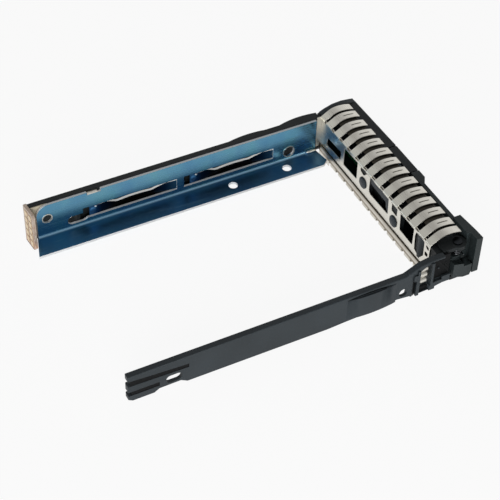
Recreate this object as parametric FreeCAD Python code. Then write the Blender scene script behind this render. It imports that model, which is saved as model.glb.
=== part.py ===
"""Hot-swap caddy for a 2.5-inch server drive: a U of two rails and a bezel with an eject lever.

The pieces are first made about the drive's own datum: X runs along the rails towards the bezel with 0 at the
drive's rear side screw, Y runs across with 0 at mid-width, and Z is up with 0 at the drive's underside. They
are then moved so that the origin is under the middle of the whole caddy, on the surface it stands on.
"""

import FreeCAD
import Part

import math
import os

from FreeCAD import Vector

# The drive that the caddy holds.
drive_width = 69.85
drive_screw_pitch = 76.6
drive_screw_height = 3.0
drive_rear_overhang = 14.0
drive_side_gap = 0.17
drive_front_gap = 2.05
drive_front_overhang = 9.85

# Fits between pieces.
seat_gap = 0.05
running_gap = 0.3
pin_gap = 0.03

# Metal rail: one folded sheet, a web beside the drive and a flange under it.
rail_sheet = 0.8
rail_height = 12.4
rail_flange_width = 7.9
rail_bend = 1.0
rail_corner = 4.0
rail_rear_setback = 2.4
rail_front_gap = 1.9
flange_rear_slant = 2.8
flange_front_chamfer = 3.6
web_slot_start = 3.6
web_slot_bridge = 2.5
web_slot_front_clear = 5.9
web_slot_low = 2.1
web_slot_high = 6.4
keyhole_radius = 1.6
web_rear_hole_back = 5.8
web_rear_hole_height = 7.0
web_rear_hole_radius = 1.5
web_front_hole_radius = 2.0
notch_start = 5.2
notch_length = 4.7
notch_depth = 1.0
clip_sheet = 0.4
flange_hole_radius = 1.55
flange_hole_inset = 4.0
flange_hole_pitch = 19.8
flange_hole_back = 2.7

# Leaf springs that reach back from the front end of each web slot.
leaf_thickness = 0.3
leaf_bow = 1.15
leaf_lift = 0.25
leaf_tip_clear = 3.6
leaf_dome_radius = 0.9

# Plastic cover on the outside of the metal rail, with two bowed stretches that press on the cage.
cover_depth = 2.6
cover_wall = 0.9
cover_roof = 1.2
cover_edge = 0.5
screw_access_radius = 2.6
bow_1_back = 17.5
bow_1_length = 15.0
bow_1_rise = 0.8
bow_2_back = 15.0
bow_2_length = 18.5
bow_2_rise = 1.5

# Contact board at the rear end of the rail.
board_thickness = 1.0
board_width = 6.4
board_slant = 5.0
board_bottom = -2.3
board_corner = 1.6
pad_width = 1.7
pad_length = 2.0
pad_pitch = 2.6
pad_rows = 5
pad_thickness = 0.12
holder_length = 6.0

# Flat circuit from the contact board to the light board.
flex_thickness = 0.2
flex_width = 3.4
flex_roof_gap = 0.4

# Plastic arm on the near side of the drive.
arm_thickness = 2.2
arm_height = 9.5
arm_bottom = -0.8
arm_rear = -13.0
arm_slot_end = 5.8
arm_low_slot_end = -3.4
arm_hole_radius = 1.4
arm_hole_stretch = 2.2
arm_shoulder_back = 11.5
arm_rib_proud = 0.45
arm_bow_rise = 0.7
arm_window_back = 7.3
arm_window_length = 4.2
arm_rib_width = 2.0
arm_edge = 0.3
ground_leaf = 0.25
ground_leaf_depth = 0.4
ground_leaf_low = 4.6
ground_leaf_high = 8.6
ground_lobe_low = 4.2
ground_lobe_room = 3.6

# Nickel spring strips that close the gap between the bezel and the cage.
shield_sheet = 0.3
shield_over_frame = 0.15
shield_split = 2.4
shield_lower_step = 0.35
finger_count = 14
finger_far_inset = 4.395
finger_near_inset = 8.815
finger_width = 3.25
end_finger_width = 2.85
end_finger_step = 4.05
finger_arch = 2.55
finger_tip_drop = 0.8
finger_crease = 3.1
finger_reach = 10.8
finger_root_notch = 0.45
low_finger_root = -0.3
low_finger_crest = -2.3
rivet_radius = 1.5
rivet_far_place = 7.5
rivet_far_height = 6.8
rivet_near_place = -11.3
rivet_near_height = 5.8

# The width and height at which the shield's openings are drawn; they move with the plate's sides and top.
window_half_width = 35.095
window_plate_top = 12.75
window_moving_height = 8.5

# Bezel frame: the hollow box between the shield and the front.
bezel_overhang = 4.005
frame_wall = 1.0
frame_edge = 0.5
frame_over_rail = 0.2
frame_bottom = -1.3
frame_depth = 8.8
frame_near_inset = 3.195
finger_relief = 0.6
pillar_depth = 2.3

# Front face with the light ring and its grille.
face_depth = 5.1
face_far_inset = 0.65
face_over_frame = 1.3
face_bottom = -1.0
face_width = 26.45
face_wall = 1.2
face_border = 1.7
face_chamfer = 0.5
ring_radius = 4.6
ring_width = 1.1
ring_inset = 13.25
grille_pitch = 1.9
grille_hole = 0.7
grille_thickness = 0.8
grille_recess = 0.8
light_board_thickness = 1.0

# Eject button beside the face.
button_width = 13.0
button_travel = 1.2
button_under_face = 0.1
button_bottom = 1.0
button_wall = 1.2
button_lens_width = 5.0
button_lens_height = 3.0
button_lens_drop = 4.4
button_stem_reach = 1.5
button_stem_middle = 6.1
spring_seat_thickness = 1.0
spring_seat_inset = 0.9

# Wire of the two coil springs.
spring_wire = 0.35
spring_wire_sides = 10

# Eject lever and its hinge.
lever_pin_depth = 8.15
lever_pin_inset = 1.695
lever_pin_radius = 1.0
lever_barrel_radius = 2.4
lever_lug = 1.4
lever_barrel_top = 8.0
lever_spine_gap = 0.1
lever_end_gap = 0.4
lever_grip_reach = 7.8
lever_end_length = 6.1
lever_thin = 1.3
lever_grip_depth = 2.2
lever_plate = 0.5
lever_knuckle_over_frame = 2.2
lever_bottom = 1.0
hook_reach = 2.7
hook_low = 0.4
hook_high = 7.6

# Places that follow from the sizes above.
rail_face = drive_width / 2 + drive_side_gap
rail_rear = -drive_rear_overhang + rail_rear_setback
drive_front = drive_screw_pitch + drive_front_overhang
shield_x = drive_front + drive_front_gap
rail_front = shield_x - rail_front_gap
web_slot_length = (drive_screw_pitch - web_slot_start - web_slot_bridge - web_slot_front_clear) / 2
bow_1_start = shield_x - bow_1_back - bow_1_length
bow_1_end = shield_x - bow_1_back
bow_2_start = shield_x - bow_2_back
bow_2_end = bow_2_start + bow_2_length
arm_shoulder_start = shield_x - arm_shoulder_back
arm_window_start = shield_x - arm_window_back
arm_window_end = arm_window_start + arm_window_length
flex_height = rail_height - cover_roof - flex_roof_gap - flex_width
cover_inner = rail_face + rail_sheet + seat_gap
cover_outer = rail_face + rail_sheet + cover_depth
cover_rear = -drive_rear_overhang + 0.6
holder_top_y = cover_inner + 0.55
arm_outer = -rail_face - arm_thickness
frame_x = shield_x + shield_sheet + seat_gap
frame_front = frame_x + frame_depth
front_x = frame_front + face_depth
frame_top = rail_height + frame_over_rail
frame_near = -rail_face + frame_near_inset
bezel_far = rail_face + bezel_overhang
shield_top = frame_top + shield_over_frame
finger_crest = shield_top + finger_arch
finger_tip_height = finger_crest - finger_tip_drop
finger_first = rail_face - finger_far_inset
finger_pitch = (2 * rail_face - finger_far_inset - finger_near_inset) / (finger_count - 3)
face_far = bezel_far - face_far_inset
face_near = face_far - face_width
face_top = frame_top + face_over_frame
ring_place = face_far - ring_inset
ring_height = (face_bottom + face_top) / 2
button_top = face_top - button_under_face
button_lens_low = button_top - button_lens_drop
button_far = face_near - running_gap
button_near = button_far - button_width
lever_pin_x = frame_x + lever_pin_depth
lever_pin_y = -rail_face + lever_pin_inset
lever_end = button_near - lever_end_gap
lever_grip_start = lever_pin_y + lever_grip_reach
lever_grip_end = lever_end - lever_end_length
lever_top = face_top
lever_knuckle_top = frame_top + lever_knuckle_over_frame
lever_spine_top = frame_top - lever_lug - lever_spine_gap
hook_rear = lever_pin_x - hook_reach
lever_front = front_x + 0.7
lever_back = frame_front + running_gap + 0.15
knuckle_x = lever_front - 3.3
grip_x = lever_front - lever_grip_depth
hook_near = arm_outer + 0.2


def box(x0, x1, y0, y1, z0, z1):
    return Part.makeBox(x1 - x0, y1 - y0, z1 - z0, Vector(x0, y0, z0))


def prism_x(points, x0, x1):
    """Extrudes a (y, z) outline from x0 to x1."""
    corners = [Vector(x0, y, z) for y, z in points]
    return Part.Face(Part.makePolygon(corners + corners[:1])).extrude(Vector(x1 - x0, 0, 0))


def prism_y(points, y0, y1):
    """Extrudes an (x, z) outline from y0 to y1."""
    corners = [Vector(x, y0, z) for x, z in points]
    return Part.Face(Part.makePolygon(corners + corners[:1])).extrude(Vector(0, y1 - y0, 0))


def prism_z(points, z0, z1):
    """Extrudes an (x, y) outline from z0 to z1."""
    corners = [Vector(x, y, z0) for x, y in points]
    return Part.Face(Part.makePolygon(corners + corners[:1])).extrude(Vector(0, 0, z1 - z0))


def rod_x(y, z, radius, x0, x1):
    return Part.makeCylinder(radius, x1 - x0, Vector(x0, y, z), Vector(1, 0, 0))


def rod_y(x, z, radius, y0, y1):
    return Part.makeCylinder(radius, y1 - y0, Vector(x, y0, z), Vector(0, 1, 0))


def rod_z(x, y, radius, z0, z1):
    return Part.makeCylinder(radius, z1 - z0, Vector(x, y, z0), Vector(0, 0, 1))


def stadium_y(x0, x1, z, radius, y0, y1):
    """A round-ended bar along X, through a wall that faces Y; x0 and x1 are the centres of its ends."""
    middle = box(x0, x1, y0, y1, z - radius, z + radius)
    return middle.fuse([rod_y(x0, z, radius, y0, y1), rod_y(x1, z, radius, y0, y1)])


def joined(solids):
    """One solid from solids that overlap, with no seams left between flush faces."""
    return solids[0].multiFuse(solids[1:]).removeSplitter()


def group(solids):
    return Part.makeCompound(solids)


def bend_outline(points, thickness):
    """The outline of a strip that follows points and lies on their left, bending at mitres."""
    def offset(i):
        before = points[max(i, 1)] - points[max(i, 1) - 1]
        after = points[min(i + 1, len(points) - 1)] - points[min(i, len(points) - 2)]
        left_a = Vector(-before.y, before.x, 0).normalize()
        left_b = Vector(-after.y, after.x, 0).normalize()
        middle = (left_a + left_b).normalize()
        return points[i] + middle * (thickness / middle.dot(left_a))
    return points + [offset(i) for i in reversed(range(len(points)))]


def strip_xy(places, thickness, z0, z1):
    """A sheet strip that stands on edge and follows (x, y) places, lying on their left."""
    outline = bend_outline([Vector(x, y, 0) for x, y in places], thickness)
    return prism_z([(p.x, p.y) for p in outline], z0, z1)


def strip_xz(places, thickness, y0, y1):
    """A sheet strip that follows (x, z) places across Y, lying on their left."""
    outline = bend_outline([Vector(x, z, 0) for x, z in places], thickness)
    return prism_y([(p.x, p.y) for p in outline], y0, y1)


def bow_z(start, end, base, rise, z0, z1):
    """A slice of a large upright cylinder that stands out of the plane y = base by rise."""
    middle = (start + end) / 2
    arc = Part.Arc(Vector(start, base, z0), Vector(middle, base + rise, z0), Vector(end, base, z0)).toShape()
    chord = Part.makeLine(Vector(end, base, z0), Vector(start, base, z0))
    return Part.Face(Part.Wire([arc, chord])).extrude(Vector(0, 0, z1 - z0))


def softened(shape, radius, chosen):
    """Rounds the edges whose bounding box passes the test."""
    return shape.makeFillet(radius, [edge for edge in shape.Edges if chosen(edge.BoundBox)])


def web_slots():
    """Start and end of each long slot in the rail's web."""
    second = web_slot_start + web_slot_length + web_slot_bridge
    return [(web_slot_start, web_slot_start + web_slot_length), (second, second + web_slot_length)]


def metal_rail():
    """The L-shaped sheet rail: web, bend and flange, with its slots, screw holes and top notch."""
    outer_bend = rail_bend + rail_sheet
    web = box(rail_rear, rail_front, rail_face, rail_face + rail_sheet, -rail_sheet, rail_height)
    flange_edge = rail_face - rail_flange_width
    flange = prism_z([
        (rail_rear, rail_face + rail_sheet),
        (rail_rear - flange_rear_slant, flange_edge),
        (rail_front - rail_sheet, flange_edge),
        (rail_front + 1.2, flange_edge + flange_front_chamfer / 2),
        (rail_front, rail_face + rail_sheet),
    ], -rail_sheet, 0)
    inner_fill = box(rail_rear, rail_front, rail_face - rail_bend, rail_face, 0, rail_bend)
    inner_round = rod_x(rail_face - rail_bend, rail_bend, rail_bend, rail_rear, rail_front)
    solid = joined([web, flange, inner_fill.cut(inner_round)])
    outer_block = box(rail_rear, rail_front, rail_face - rail_bend, rail_face + rail_sheet,
                      -rail_sheet, rail_bend)
    outer_round = rod_x(rail_face - rail_bend, rail_bend, outer_bend, rail_rear, rail_front)
    solid = solid.cut(outer_block.cut(outer_round))
    y0 = rail_face - rail_bend
    y1 = rail_face + 2 * rail_sheet
    corner_block = box(rail_rear, rail_rear + rail_corner, y0, y1, rail_height - rail_corner, rail_height)
    corner_round = rod_y(rail_rear + rail_corner, rail_height - rail_corner, rail_corner, y0, y1)
    cuts = [corner_block.cut(corner_round)]
    for start, end in web_slots():
        cuts.append(box(start, end, y0, y1, web_slot_low, web_slot_high))
    cuts.append(stadium_y(0, web_slot_start, drive_screw_height, keyhole_radius, y0, y1))
    cuts.append(rod_y(rail_rear + web_rear_hole_back - rail_rear_setback, web_rear_hole_height,
                      web_rear_hole_radius, y0, y1))
    cuts.append(rod_y(drive_screw_pitch, drive_screw_height, web_front_hole_radius, y0, y1))
    cuts.append(box(notch_start, notch_start + notch_length, y0, y1, rail_height - notch_depth, rail_height))
    front_hole = drive_screw_pitch - flange_hole_back
    for x in (front_hole - flange_hole_pitch, front_hole):
        cuts.append(rod_z(x, rail_face - flange_hole_inset, flange_hole_radius, -2 * rail_sheet, rail_sheet))
    return solid.cut(cuts)


def clip_span():
    """Start and end of the clip, inside the notch of the web."""
    return notch_start + 4 * seat_gap, notch_start + notch_length - 1.0


def rail_clip():
    """The bright clip on the cover that hooks into the notch in the top of the web."""
    start, end = clip_span()
    low = rail_height - notch_depth + seat_gap
    hook = box(start, end, rail_face, cover_inner + clip_sheet, low, low + clip_sheet)
    leg = box(start, end, cover_inner, cover_inner + clip_sheet, low - 2.5, low + clip_sheet)
    return joined([hook, leg])


def rail_spring(slot):
    """A leaf that starts in the front end of a web slot, bows outwards and ends in a domed tip."""
    start, end = web_slots()[slot]
    root = rail_face + leaf_lift
    tip = start + leaf_tip_clear
    quarter = (end - tip) / 4
    path = [
        (end - seat_gap, root),
        (end - quarter, root + 0.1 * leaf_bow),
        (end - 2 * quarter, root + 0.6 * leaf_bow),
        (end - 3 * quarter, root + leaf_bow),
        (tip + 3 * leaf_dome_radius, root + 0.85 * leaf_bow),
        (tip + leaf_dome_radius, root + leaf_thickness),
        (tip - leaf_dome_radius, root + leaf_thickness),
    ]
    low = web_slot_low + 0.3
    high = web_slot_high - 0.3
    leaf = strip_xy(list(reversed(path)), leaf_thickness, low, high)
    slot_middle = (low + high) / 2 + 0.5
    dome = Part.makeSphere(leaf_dome_radius, Vector(tip, root + 0.6, slot_middle))
    dome = dome.common(box(tip - 2, tip + 2, root - 1.0, root + 0.45, low, high))
    return joined([leaf, dome])


def rail_cover():
    """The black channel outside the metal rail: a roof, a floor and a side wall that bows out twice."""
    z0 = -rail_sheet
    front = shield_x - 2 * seat_gap
    wall = box(cover_rear, front, cover_inner, cover_outer, z0, rail_height)
    bow_1 = bow_z(bow_1_start, bow_1_end, cover_outer, bow_1_rise, z0, rail_height)
    bow_2 = bow_z(bow_2_start, bow_2_end, cover_outer, bow_2_rise, z0, rail_height)
    bow_2 = bow_2.common(box(bow_2_start, front, cover_outer - 1, cover_outer + 5, z0, rail_height))
    solid = joined([wall, bow_1, bow_2])
    solid = softened(solid, cover_edge, lambda b: b.ZLength < 0.01 and b.YMin > cover_outer - 0.01
                     and b.XLength > 5)
    channel = box(cover_rear - 1, front + 1, cover_inner - 1, cover_outer - cover_wall,
                  1.0, rail_height - cover_roof)
    mouth = box(cover_rear - 1, cover_rear + holder_length, cover_inner - 1, holder_top_y,
                1.0, rail_height + 1)
    clip_start, clip_end = clip_span()
    clip_room = box(clip_start - seat_gap, clip_end + seat_gap,
                    cover_inner - 1, cover_inner + clip_sheet + seat_gap, 0, rail_height + 1)
    leaf_room = []
    for start, end in web_slots():
        leaf_room.append(box(start, end, cover_inner - 1, cover_outer - cover_wall + 0.25,
                             web_slot_low, web_slot_high))
    screw_access = []
    for x in (0, drive_screw_pitch):
        screw_access.append(rod_y(x, drive_screw_height, screw_access_radius,
                                  cover_outer - 2 * cover_wall, cover_outer + bow_2_rise + 1))
    return solid.cut([channel, mouth, clip_room, board_space()] + leaf_room + screw_access)


def turned_board(x0, x1, y0, y1, z0, z1):
    """A box on the contact board: x from its rear face forwards, y across from its outer edge."""
    solid = box(x0, x1, -y1, -y0, z0, z1)
    solid.rotate(Vector(0, 0, 0), Vector(0, 0, 1), board_slant)
    rear = cover_rear - seat_gap - board_thickness
    solid.translate(Vector(rear, cover_outer, 0))
    return solid


def board_space():
    """The room that the contact board takes across the rear end, with its seating gap."""
    return turned_board(-6, board_thickness + seat_gap, -3, board_width + 4,
                        board_bottom - 3, rail_height + 3)


def contact_board():
    """The small board that meets the backplane, standing across the rear end of the rail."""
    blank = turned_board(0, board_thickness, 0, board_width, board_bottom, rail_height)
    corners = []
    for edge in blank.Edges:
        ends = [v.Point for v in edge.Vertexes]
        level = abs(ends[0].z - ends[1].z) < 1e-6
        across = abs((ends[0] - ends[1]).Length - board_thickness) < 1e-6
        inner = ends[0].y < cover_outer - board_width / 2
        if level and across and inner:
            corners.append(edge)
    return blank.makeFillet(board_corner, corners)


def contact_pads():
    """Two columns of gold pads on the rear face of the contact board."""
    pads = []
    gap = (board_width - 2 * pad_width) / 3
    middle = (board_bottom + rail_height) / 2
    for row in range(pad_rows):
        z = middle + (row - (pad_rows - 1) / 2) * pad_pitch - pad_length / 2
        for column in range(2):
            y = gap + column * (pad_width + gap)
            pads.append(turned_board(-pad_thickness, 0, y, y + pad_width, z, z + pad_length))
    return group(pads)


def contact_holder():
    """The pale block in the end of the channel that carries the contact board."""
    x1 = cover_rear + holder_length - seat_gap
    y0 = cover_inner + seat_gap
    y1 = cover_outer - cover_wall - seat_gap
    low = box(cover_rear - 2, x1, y0, y1, 1.0 + seat_gap, rail_height - cover_roof - seat_gap)
    top = box(cover_rear - 2, x1, y0, holder_top_y - seat_gap, 2.0, rail_height - 0.2)
    slit = box(cover_rear - 3, x1 + 1, y1 - flex_thickness - seat_gap, y1 + 1,
               flex_height - seat_gap, flex_height + flex_width + seat_gap)
    return joined([low, top]).cut([slit, board_space()])


def flex_circuit():
    """The flat circuit along the outer wall of the channel, from the contact board to the light board."""
    y = cover_outer - cover_wall - seat_gap - flex_thickness
    film = box(cover_rear - board_thickness, socket_rear() - seat_gap, y, y + flex_thickness,
               flex_height, flex_height + flex_width)
    return film.cut(board_space())


def lower_front_x():
    """Where the arm ends inside the bezel frame."""
    return shield_x + 1.9


def arm_profile():
    """The near arm's outline as (x, z) places, from its rear underside round to its rear top."""
    lower_front = lower_front_x()
    return [
        (arm_rear, 0.2), (arm_rear + 1.3, arm_bottom + 0.15), (-5.0, arm_bottom + 0.15),
        (arm_low_slot_end, 0.4), (arm_hole_stretch + 1.0, 0.5), (arm_slot_end - 0.5, arm_bottom),
        (bow_1_start - 5, arm_bottom - 0.1), (bow_1_start + 1, arm_bottom + 0.3),
        (bow_1_end - 1, 0.0), (bow_1_end + 3.4, 1.0), (arm_window_start, 0.25),
        (arm_window_end + 1, 0.6), (lower_front, 1.4), (lower_front, frame_top - 0.1),
        (arm_window_end, frame_top - 0.1), (arm_shoulder_start + 5, arm_height + 2.4),
        (arm_shoulder_start + 3.2, arm_height + 1.5), (arm_shoulder_start, arm_height),
        (arm_rear, arm_height),
    ]


def near_arm():
    """The plastic arm: pronged rear end, long screw hole, bowed pad with its slit, window and ribs."""
    y0 = arm_outer
    y1 = -rail_face
    far = y0 - 3
    near = y1 + 3
    plate = prism_y(arm_profile(), y0, y1)
    plate = softened(plate, arm_edge, lambda b: b.YLength < 0.01)
    pad = bow_z(bow_1_start + 1, bow_1_end + 3, -y0, arm_bow_rise, 0.4, arm_height - 1.2)
    pad = pad.mirror(Vector(0, 0, 0), Vector(0, 1, 0))
    rib_1 = box(arm_window_start - arm_rib_width, arm_window_start, y0 - arm_rib_proud, y1,
                0.3, arm_height - 0.6)
    rib_2 = box(arm_window_end, arm_window_end + arm_rib_width, y0 - arm_rib_proud, y1,
                0.7, frame_top - 1.0)
    solid = joined([plate, pad, rib_1, rib_2])
    upper_slot = prism_y([
        (arm_rear - 1, 6.0), (arm_slot_end, 5.3), (arm_slot_end, 6.4), (arm_rear - 1, 7.5),
    ], far, near)
    lower_slot = box(arm_rear - 1, arm_low_slot_end, far, near, 1.7, 3.3)
    screw_hole = stadium_y(0, arm_hole_stretch, drive_screw_height - 0.2, arm_hole_radius, far, near)
    front_hole = rod_y(drive_screw_pitch, drive_screw_height + 0.2, arm_hole_radius + 0.1, far, near)
    slit_centre = (bow_1_start + 1 + bow_1_end + 1) / 2
    slit_radius = 60.0
    slit_axis = arm_height - 0.7 - slit_radius
    ring = rod_y(slit_centre, slit_axis, slit_radius + 0.25, far, near).cut(
        rod_y(slit_centre, slit_axis, slit_radius - 0.25, far, near))
    slit = ring.common(box(bow_1_start + 1, bow_1_end + 1, far, near, arm_height / 2, arm_height + 1))
    window = prism_y([
        (arm_window_start, 2.2), (arm_window_end, 2.4), (arm_window_end, frame_top - 1.4),
        (arm_window_end - 1.4, frame_top - 1.7), (arm_window_start + 1.2, frame_top - 2.7),
        (arm_window_start, frame_top - 3.9),
    ], far, near)
    groove = box(arm_window_start - arm_rib_width - 1.3, arm_window_start - arm_rib_width - 0.1,
                 far, y0 + 1.0, 1.8, arm_height - 1.2)
    front_recess = box(arm_window_end + arm_rib_width, shield_x + 5, far, y0 + 0.9, 3.0, frame_top - 1.0)
    leaf_groove = box(arm_window_end - 1, lower_front_x() + 1,
                      -rail_face - ground_leaf_depth - seat_gap, near,
                      ground_leaf_low - 0.1, ground_leaf_high + 0.1)
    return solid.cut([upper_slot, lower_slot, screw_hole, front_hole, slit, window, groove, front_recess,
                      leaf_groove])


def ground_spring():
    """The nickel spring in the arm's window: a leaf behind the arm with three rounded lobes on its end."""
    x0 = arm_window_start + 1.7
    x1 = arm_window_end - 0.4
    leaf_y = -rail_face - ground_leaf_depth
    lobes = []
    lobe_pitch = (frame_top - ground_lobe_low - ground_lobe_room) / 2
    for i in range(3):
        z = ground_lobe_low + i * lobe_pitch
        shell = rod_x(leaf_y, z, 1.15, x0, x1).cut(rod_x(leaf_y, z, 0.9, x0, x1))
        lobes.append(shell.common(box(x0, x1, leaf_y - 3, leaf_y + 0.1, z - 2, z + 2)))
    pad = box(x0, x1, leaf_y, leaf_y + ground_leaf, 3.0, frame_top - 2.6)
    leaf = box(x0, frame_x + 1.0, leaf_y, leaf_y + ground_leaf, ground_leaf_low, ground_leaf_high)
    return joined([pad, leaf] + lobes)


def moved_with_plate(y, z):
    """A drawn corner of an opening, moved with the nearer side of the plate and, high up, with its top."""
    side = math.copysign(rail_face - window_half_width, y)
    lift = shield_top - window_plate_top if z > window_moving_height else 0
    return y + side, z + lift


def shield_window_outlines():
    """The openings in the upper shield as (y, z) outlines, from the far side to the near side."""
    drawn = [
        [(31.0, 5.6), (21.6, 5.0), (21.6, 10.0), (30.2, 10.2)],
        [(20.1, 5.2), (11.6, 5.2), (11.6, 9.6), (13.6, 11.8), (19.2, 11.8)],
        [(9.8, 10.3), (5.4, 10.3), (5.8, 11.8), (9.0, 11.8)],
        [(4.0, 5.6), (-7.5, 5.6), (-7.5, 10.6), (-6.2, 11.8), (2.0, 11.8)],
        [(-9.4, 9.0), (-12.9, 9.0), (-12.6, 11.8), (-9.8, 11.8)],
        [(-14.6, 5.4), (-22.3, 5.2), (-22.3, 11.4), (-16.2, 11.7)],
        [(-23.6, 2.8), (-27.2, 2.8), (-27.2, 10.4), (-23.6, 10.4)],
        [(-28.4, 7.8), (-30.2, 7.8), (-30.2, 10.2), (-28.4, 10.2)],
        [(-28.4, 4.2), (-30.2, 4.2), (-30.2, 6.6), (-28.4, 6.6)],
    ]
    return [[moved_with_plate(y, z) for y, z in outline] for outline in drawn]


def rivet_places():
    """The (y, z) centres of the two push rivets through the upper shield."""
    return [(rivet_far_place, rivet_far_height), (rivet_near_place, rivet_near_height)]


def finger_edges(index):
    """Low and high y of a finger, counted from the far side; the two end fingers are narrower and closer."""
    middle = finger_first - (index - 1) * finger_pitch
    width = finger_width
    if index == 0:
        middle = finger_first + end_finger_step
        width = end_finger_width
    if index == finger_count - 1:
        middle = finger_first - (index - 2) * finger_pitch - end_finger_step
        width = end_finger_width
    return middle - width / 2, middle + width / 2


def shield_upper():
    """The upper spring strip: a windowed plate with a row of arched fingers along its top edge."""
    x = shield_x
    plate = box(x, x + shield_sheet, frame_near + 0.4, rail_face + 0.6, shield_split, shield_top)
    tab = box(rail_front + running_gap, x + shield_sheet, rail_face + 0.1, rail_face + 0.1 + shield_sheet,
              shield_split, rail_height)
    arch = [
        (x, shield_top - 1), (x, shield_top),
        (x + finger_crease, finger_crest - 0.75),
        (x + 0.45 * finger_reach, finger_crest - 0.1), (x + 0.6 * finger_reach, finger_crest),
        (x + 0.8 * finger_reach, finger_crest - 0.25), (x + finger_reach, finger_tip_height),
    ]
    arch = list(reversed(arch))
    fingers = []
    for i in range(finger_count):
        y0, y1 = finger_edges(i)
        fingers.append(strip_xz(arch, shield_sheet, y0, y1))
    solid = joined([plate, tab] + fingers)
    cuts = [prism_x(outline, x - 1, x + 2) for outline in shield_window_outlines()]
    for y, z in rivet_places():
        cuts.append(rod_x(y, z, 2.0, x - 1, x + 2))
    for i in range(finger_count - 1):
        gap_high = finger_edges(i)[0]
        gap_low = finger_edges(i + 1)[1]
        cuts.append(box(x - 1, x + 2, gap_low, gap_high, shield_top - finger_root_notch, shield_top + 1))
    return solid.cut(cuts)


def shield_lower():
    """The lower spring strip: a plain band with fingers that fold forwards under the bezel frame."""
    x = shield_x - shield_lower_step
    band = box(x, x + shield_sheet, frame_near + 1.0, rail_face - 0.5, low_finger_root, shield_split - 0.2)
    path = [
        (x, low_finger_root + 0.5), (x, low_finger_crest + 1.0), (x + 0.35, low_finger_crest + 0.35),
        (x + 1.3, low_finger_crest),
        (x + 0.6 * finger_reach, low_finger_crest + 0.1), (x + 0.95 * finger_reach, low_finger_crest + 0.5),
    ]
    fingers = []
    for i in range(1, finger_count - 1):
        y0, y1 = finger_edges(i)
        fingers.append(strip_xz(path, shield_sheet, y0, y1))
    return joined([band] + fingers)


def shield_rivets():
    """Two domed plastic push rivets that hold the upper shield on the frame's pillars."""
    rivets = []
    for y, z in rivet_places():
        shank = rod_x(y, z, rivet_radius, shield_x - 0.1, frame_x + 2.0)
        head = rod_x(y, z, 1.85, shield_x - 0.5, shield_x + shield_sheet)
        crown = [e for e in head.Edges if abs(e.CenterOfMass.x - (shield_x - 0.5)) < 0.01]
        head = head.makeChamfer(0.25, crown)
        rivets.append(joined([shank, head]))
    return group(rivets)


def hinge_clearance(z0, z1, radius):
    return rod_z(lever_pin_x, lever_pin_y, radius, z0, z1)


def hinge_lug(z0, z1, near):
    """A plate of the frame that carries the hinge pin, reaching out to y = near behind the pin."""
    return joined([
        box(frame_x, lever_pin_x, near, frame_near + 1, z0, z1),
        box(lever_pin_x - 1, frame_front, lever_pin_y, frame_near + 1, z0, z1),
        rod_z(lever_pin_x, lever_pin_y, lever_barrel_radius + 0.3, z0, z1),
    ])


def bezel_frame():
    """The hollow frame behind the front: four walls, pillars for the rivets, and the two hinge lugs."""
    y0 = frame_near
    y1 = bezel_far
    shell = box(frame_x, frame_front, y0, y1, frame_bottom, frame_top)
    shell = softened(shell, frame_edge, lambda b: b.YMin > y1 - 0.01 or b.XMin > frame_front - 0.01)
    hollow = box(frame_x - 1, frame_front - frame_wall, y0 + frame_wall, y1 - frame_wall,
                 frame_bottom + frame_wall, frame_top - frame_wall)
    floor = frame_bottom + frame_wall / 2
    roof = frame_top - frame_wall
    parts = [shell.cut(hollow)]
    for y, z in rivet_places():
        parts.append(box(frame_x, frame_x + pillar_depth, y - 2.2, y + 2.2, floor, roof))
    parts.append(box(frame_x, frame_x + 2 * pillar_depth, -27.0, -23.8, floor, roof))
    parts.append(hinge_lug(frame_top - lever_lug, frame_top, -rail_face - 0.3))
    parts.append(hinge_lug(frame_bottom, frame_bottom + lever_lug, lever_pin_y))
    parts.append(box(frame_x, frame_x + 2.6, -rail_face + seat_gap, y0 + 1, frame_bottom, frame_top))
    solid = joined(parts)
    barrel_low = frame_bottom + lever_lug
    barrel_high = frame_top - lever_lug
    cuts = [
        hinge_clearance(frame_bottom - 1, frame_top + 1, lever_pin_radius + pin_gap),
        hinge_clearance(barrel_low, barrel_high, lever_barrel_radius + running_gap),
        box(frame_x - 1, frame_x + 2.0, y0 - 5, y1 + 1, frame_top - finger_relief, frame_top + 1),
        box(frame_front - 2, frame_front + 1, button_near - running_gap, button_far + running_gap,
            frame_bottom + 2, frame_top + 1),
        box(frame_front - 2, frame_front + 1, face_near + 2.5, face_far - 2.5,
            frame_bottom + 2, frame_top - 2),
        box(frame_x - 1, lower_front_x() + seat_gap, arm_outer - 2, -rail_face + seat_gap,
            frame_bottom - 1, frame_top + 1),
    ]
    for y, z in rivet_places():
        cuts.append(rod_x(y, z, rivet_radius + pin_gap, frame_x - 1, frame_x + 2.0 + seat_gap))
    for i in range(3):
        y = lever_grip_end - 3.0 - i * 6.0
        cuts.append(box(frame_front - 2, frame_front + 1, y - 4.0, y, frame_bottom + 3, frame_top - 3))
    return solid.cut(cuts)


def face_shell():
    """The outer form of the front face, a little deeper towards its near end."""
    block = prism_z([
        (frame_front + seat_gap, face_near), (frame_front + seat_gap, face_far),
        (front_x - 0.2, face_far), (front_x + 0.3, face_near),
    ], face_bottom, face_top)
    front_edges = [e for e in block.Edges if e.BoundBox.XMin > front_x - 0.5]
    return block.makeChamfer(face_chamfer, front_edges)


def bezel_face():
    """The front face beside the button: a shell with a wide mouth for the grille."""
    shell = face_shell()
    hollow = box(frame_front - 1, front_x - grille_recess - grille_thickness, face_near + face_wall,
                 face_far - face_wall, face_bottom + face_wall, face_top - face_wall)
    mouth = box(frame_front, front_x + 2, face_near + face_border, face_far - face_border,
                face_bottom + face_border, face_top - face_border)
    corners = [e for e in mouth.Edges if e.BoundBox.XLength > 1]
    return shell.cut([hollow, mouth.makeFillet(face_border / 2, corners)])


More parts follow.
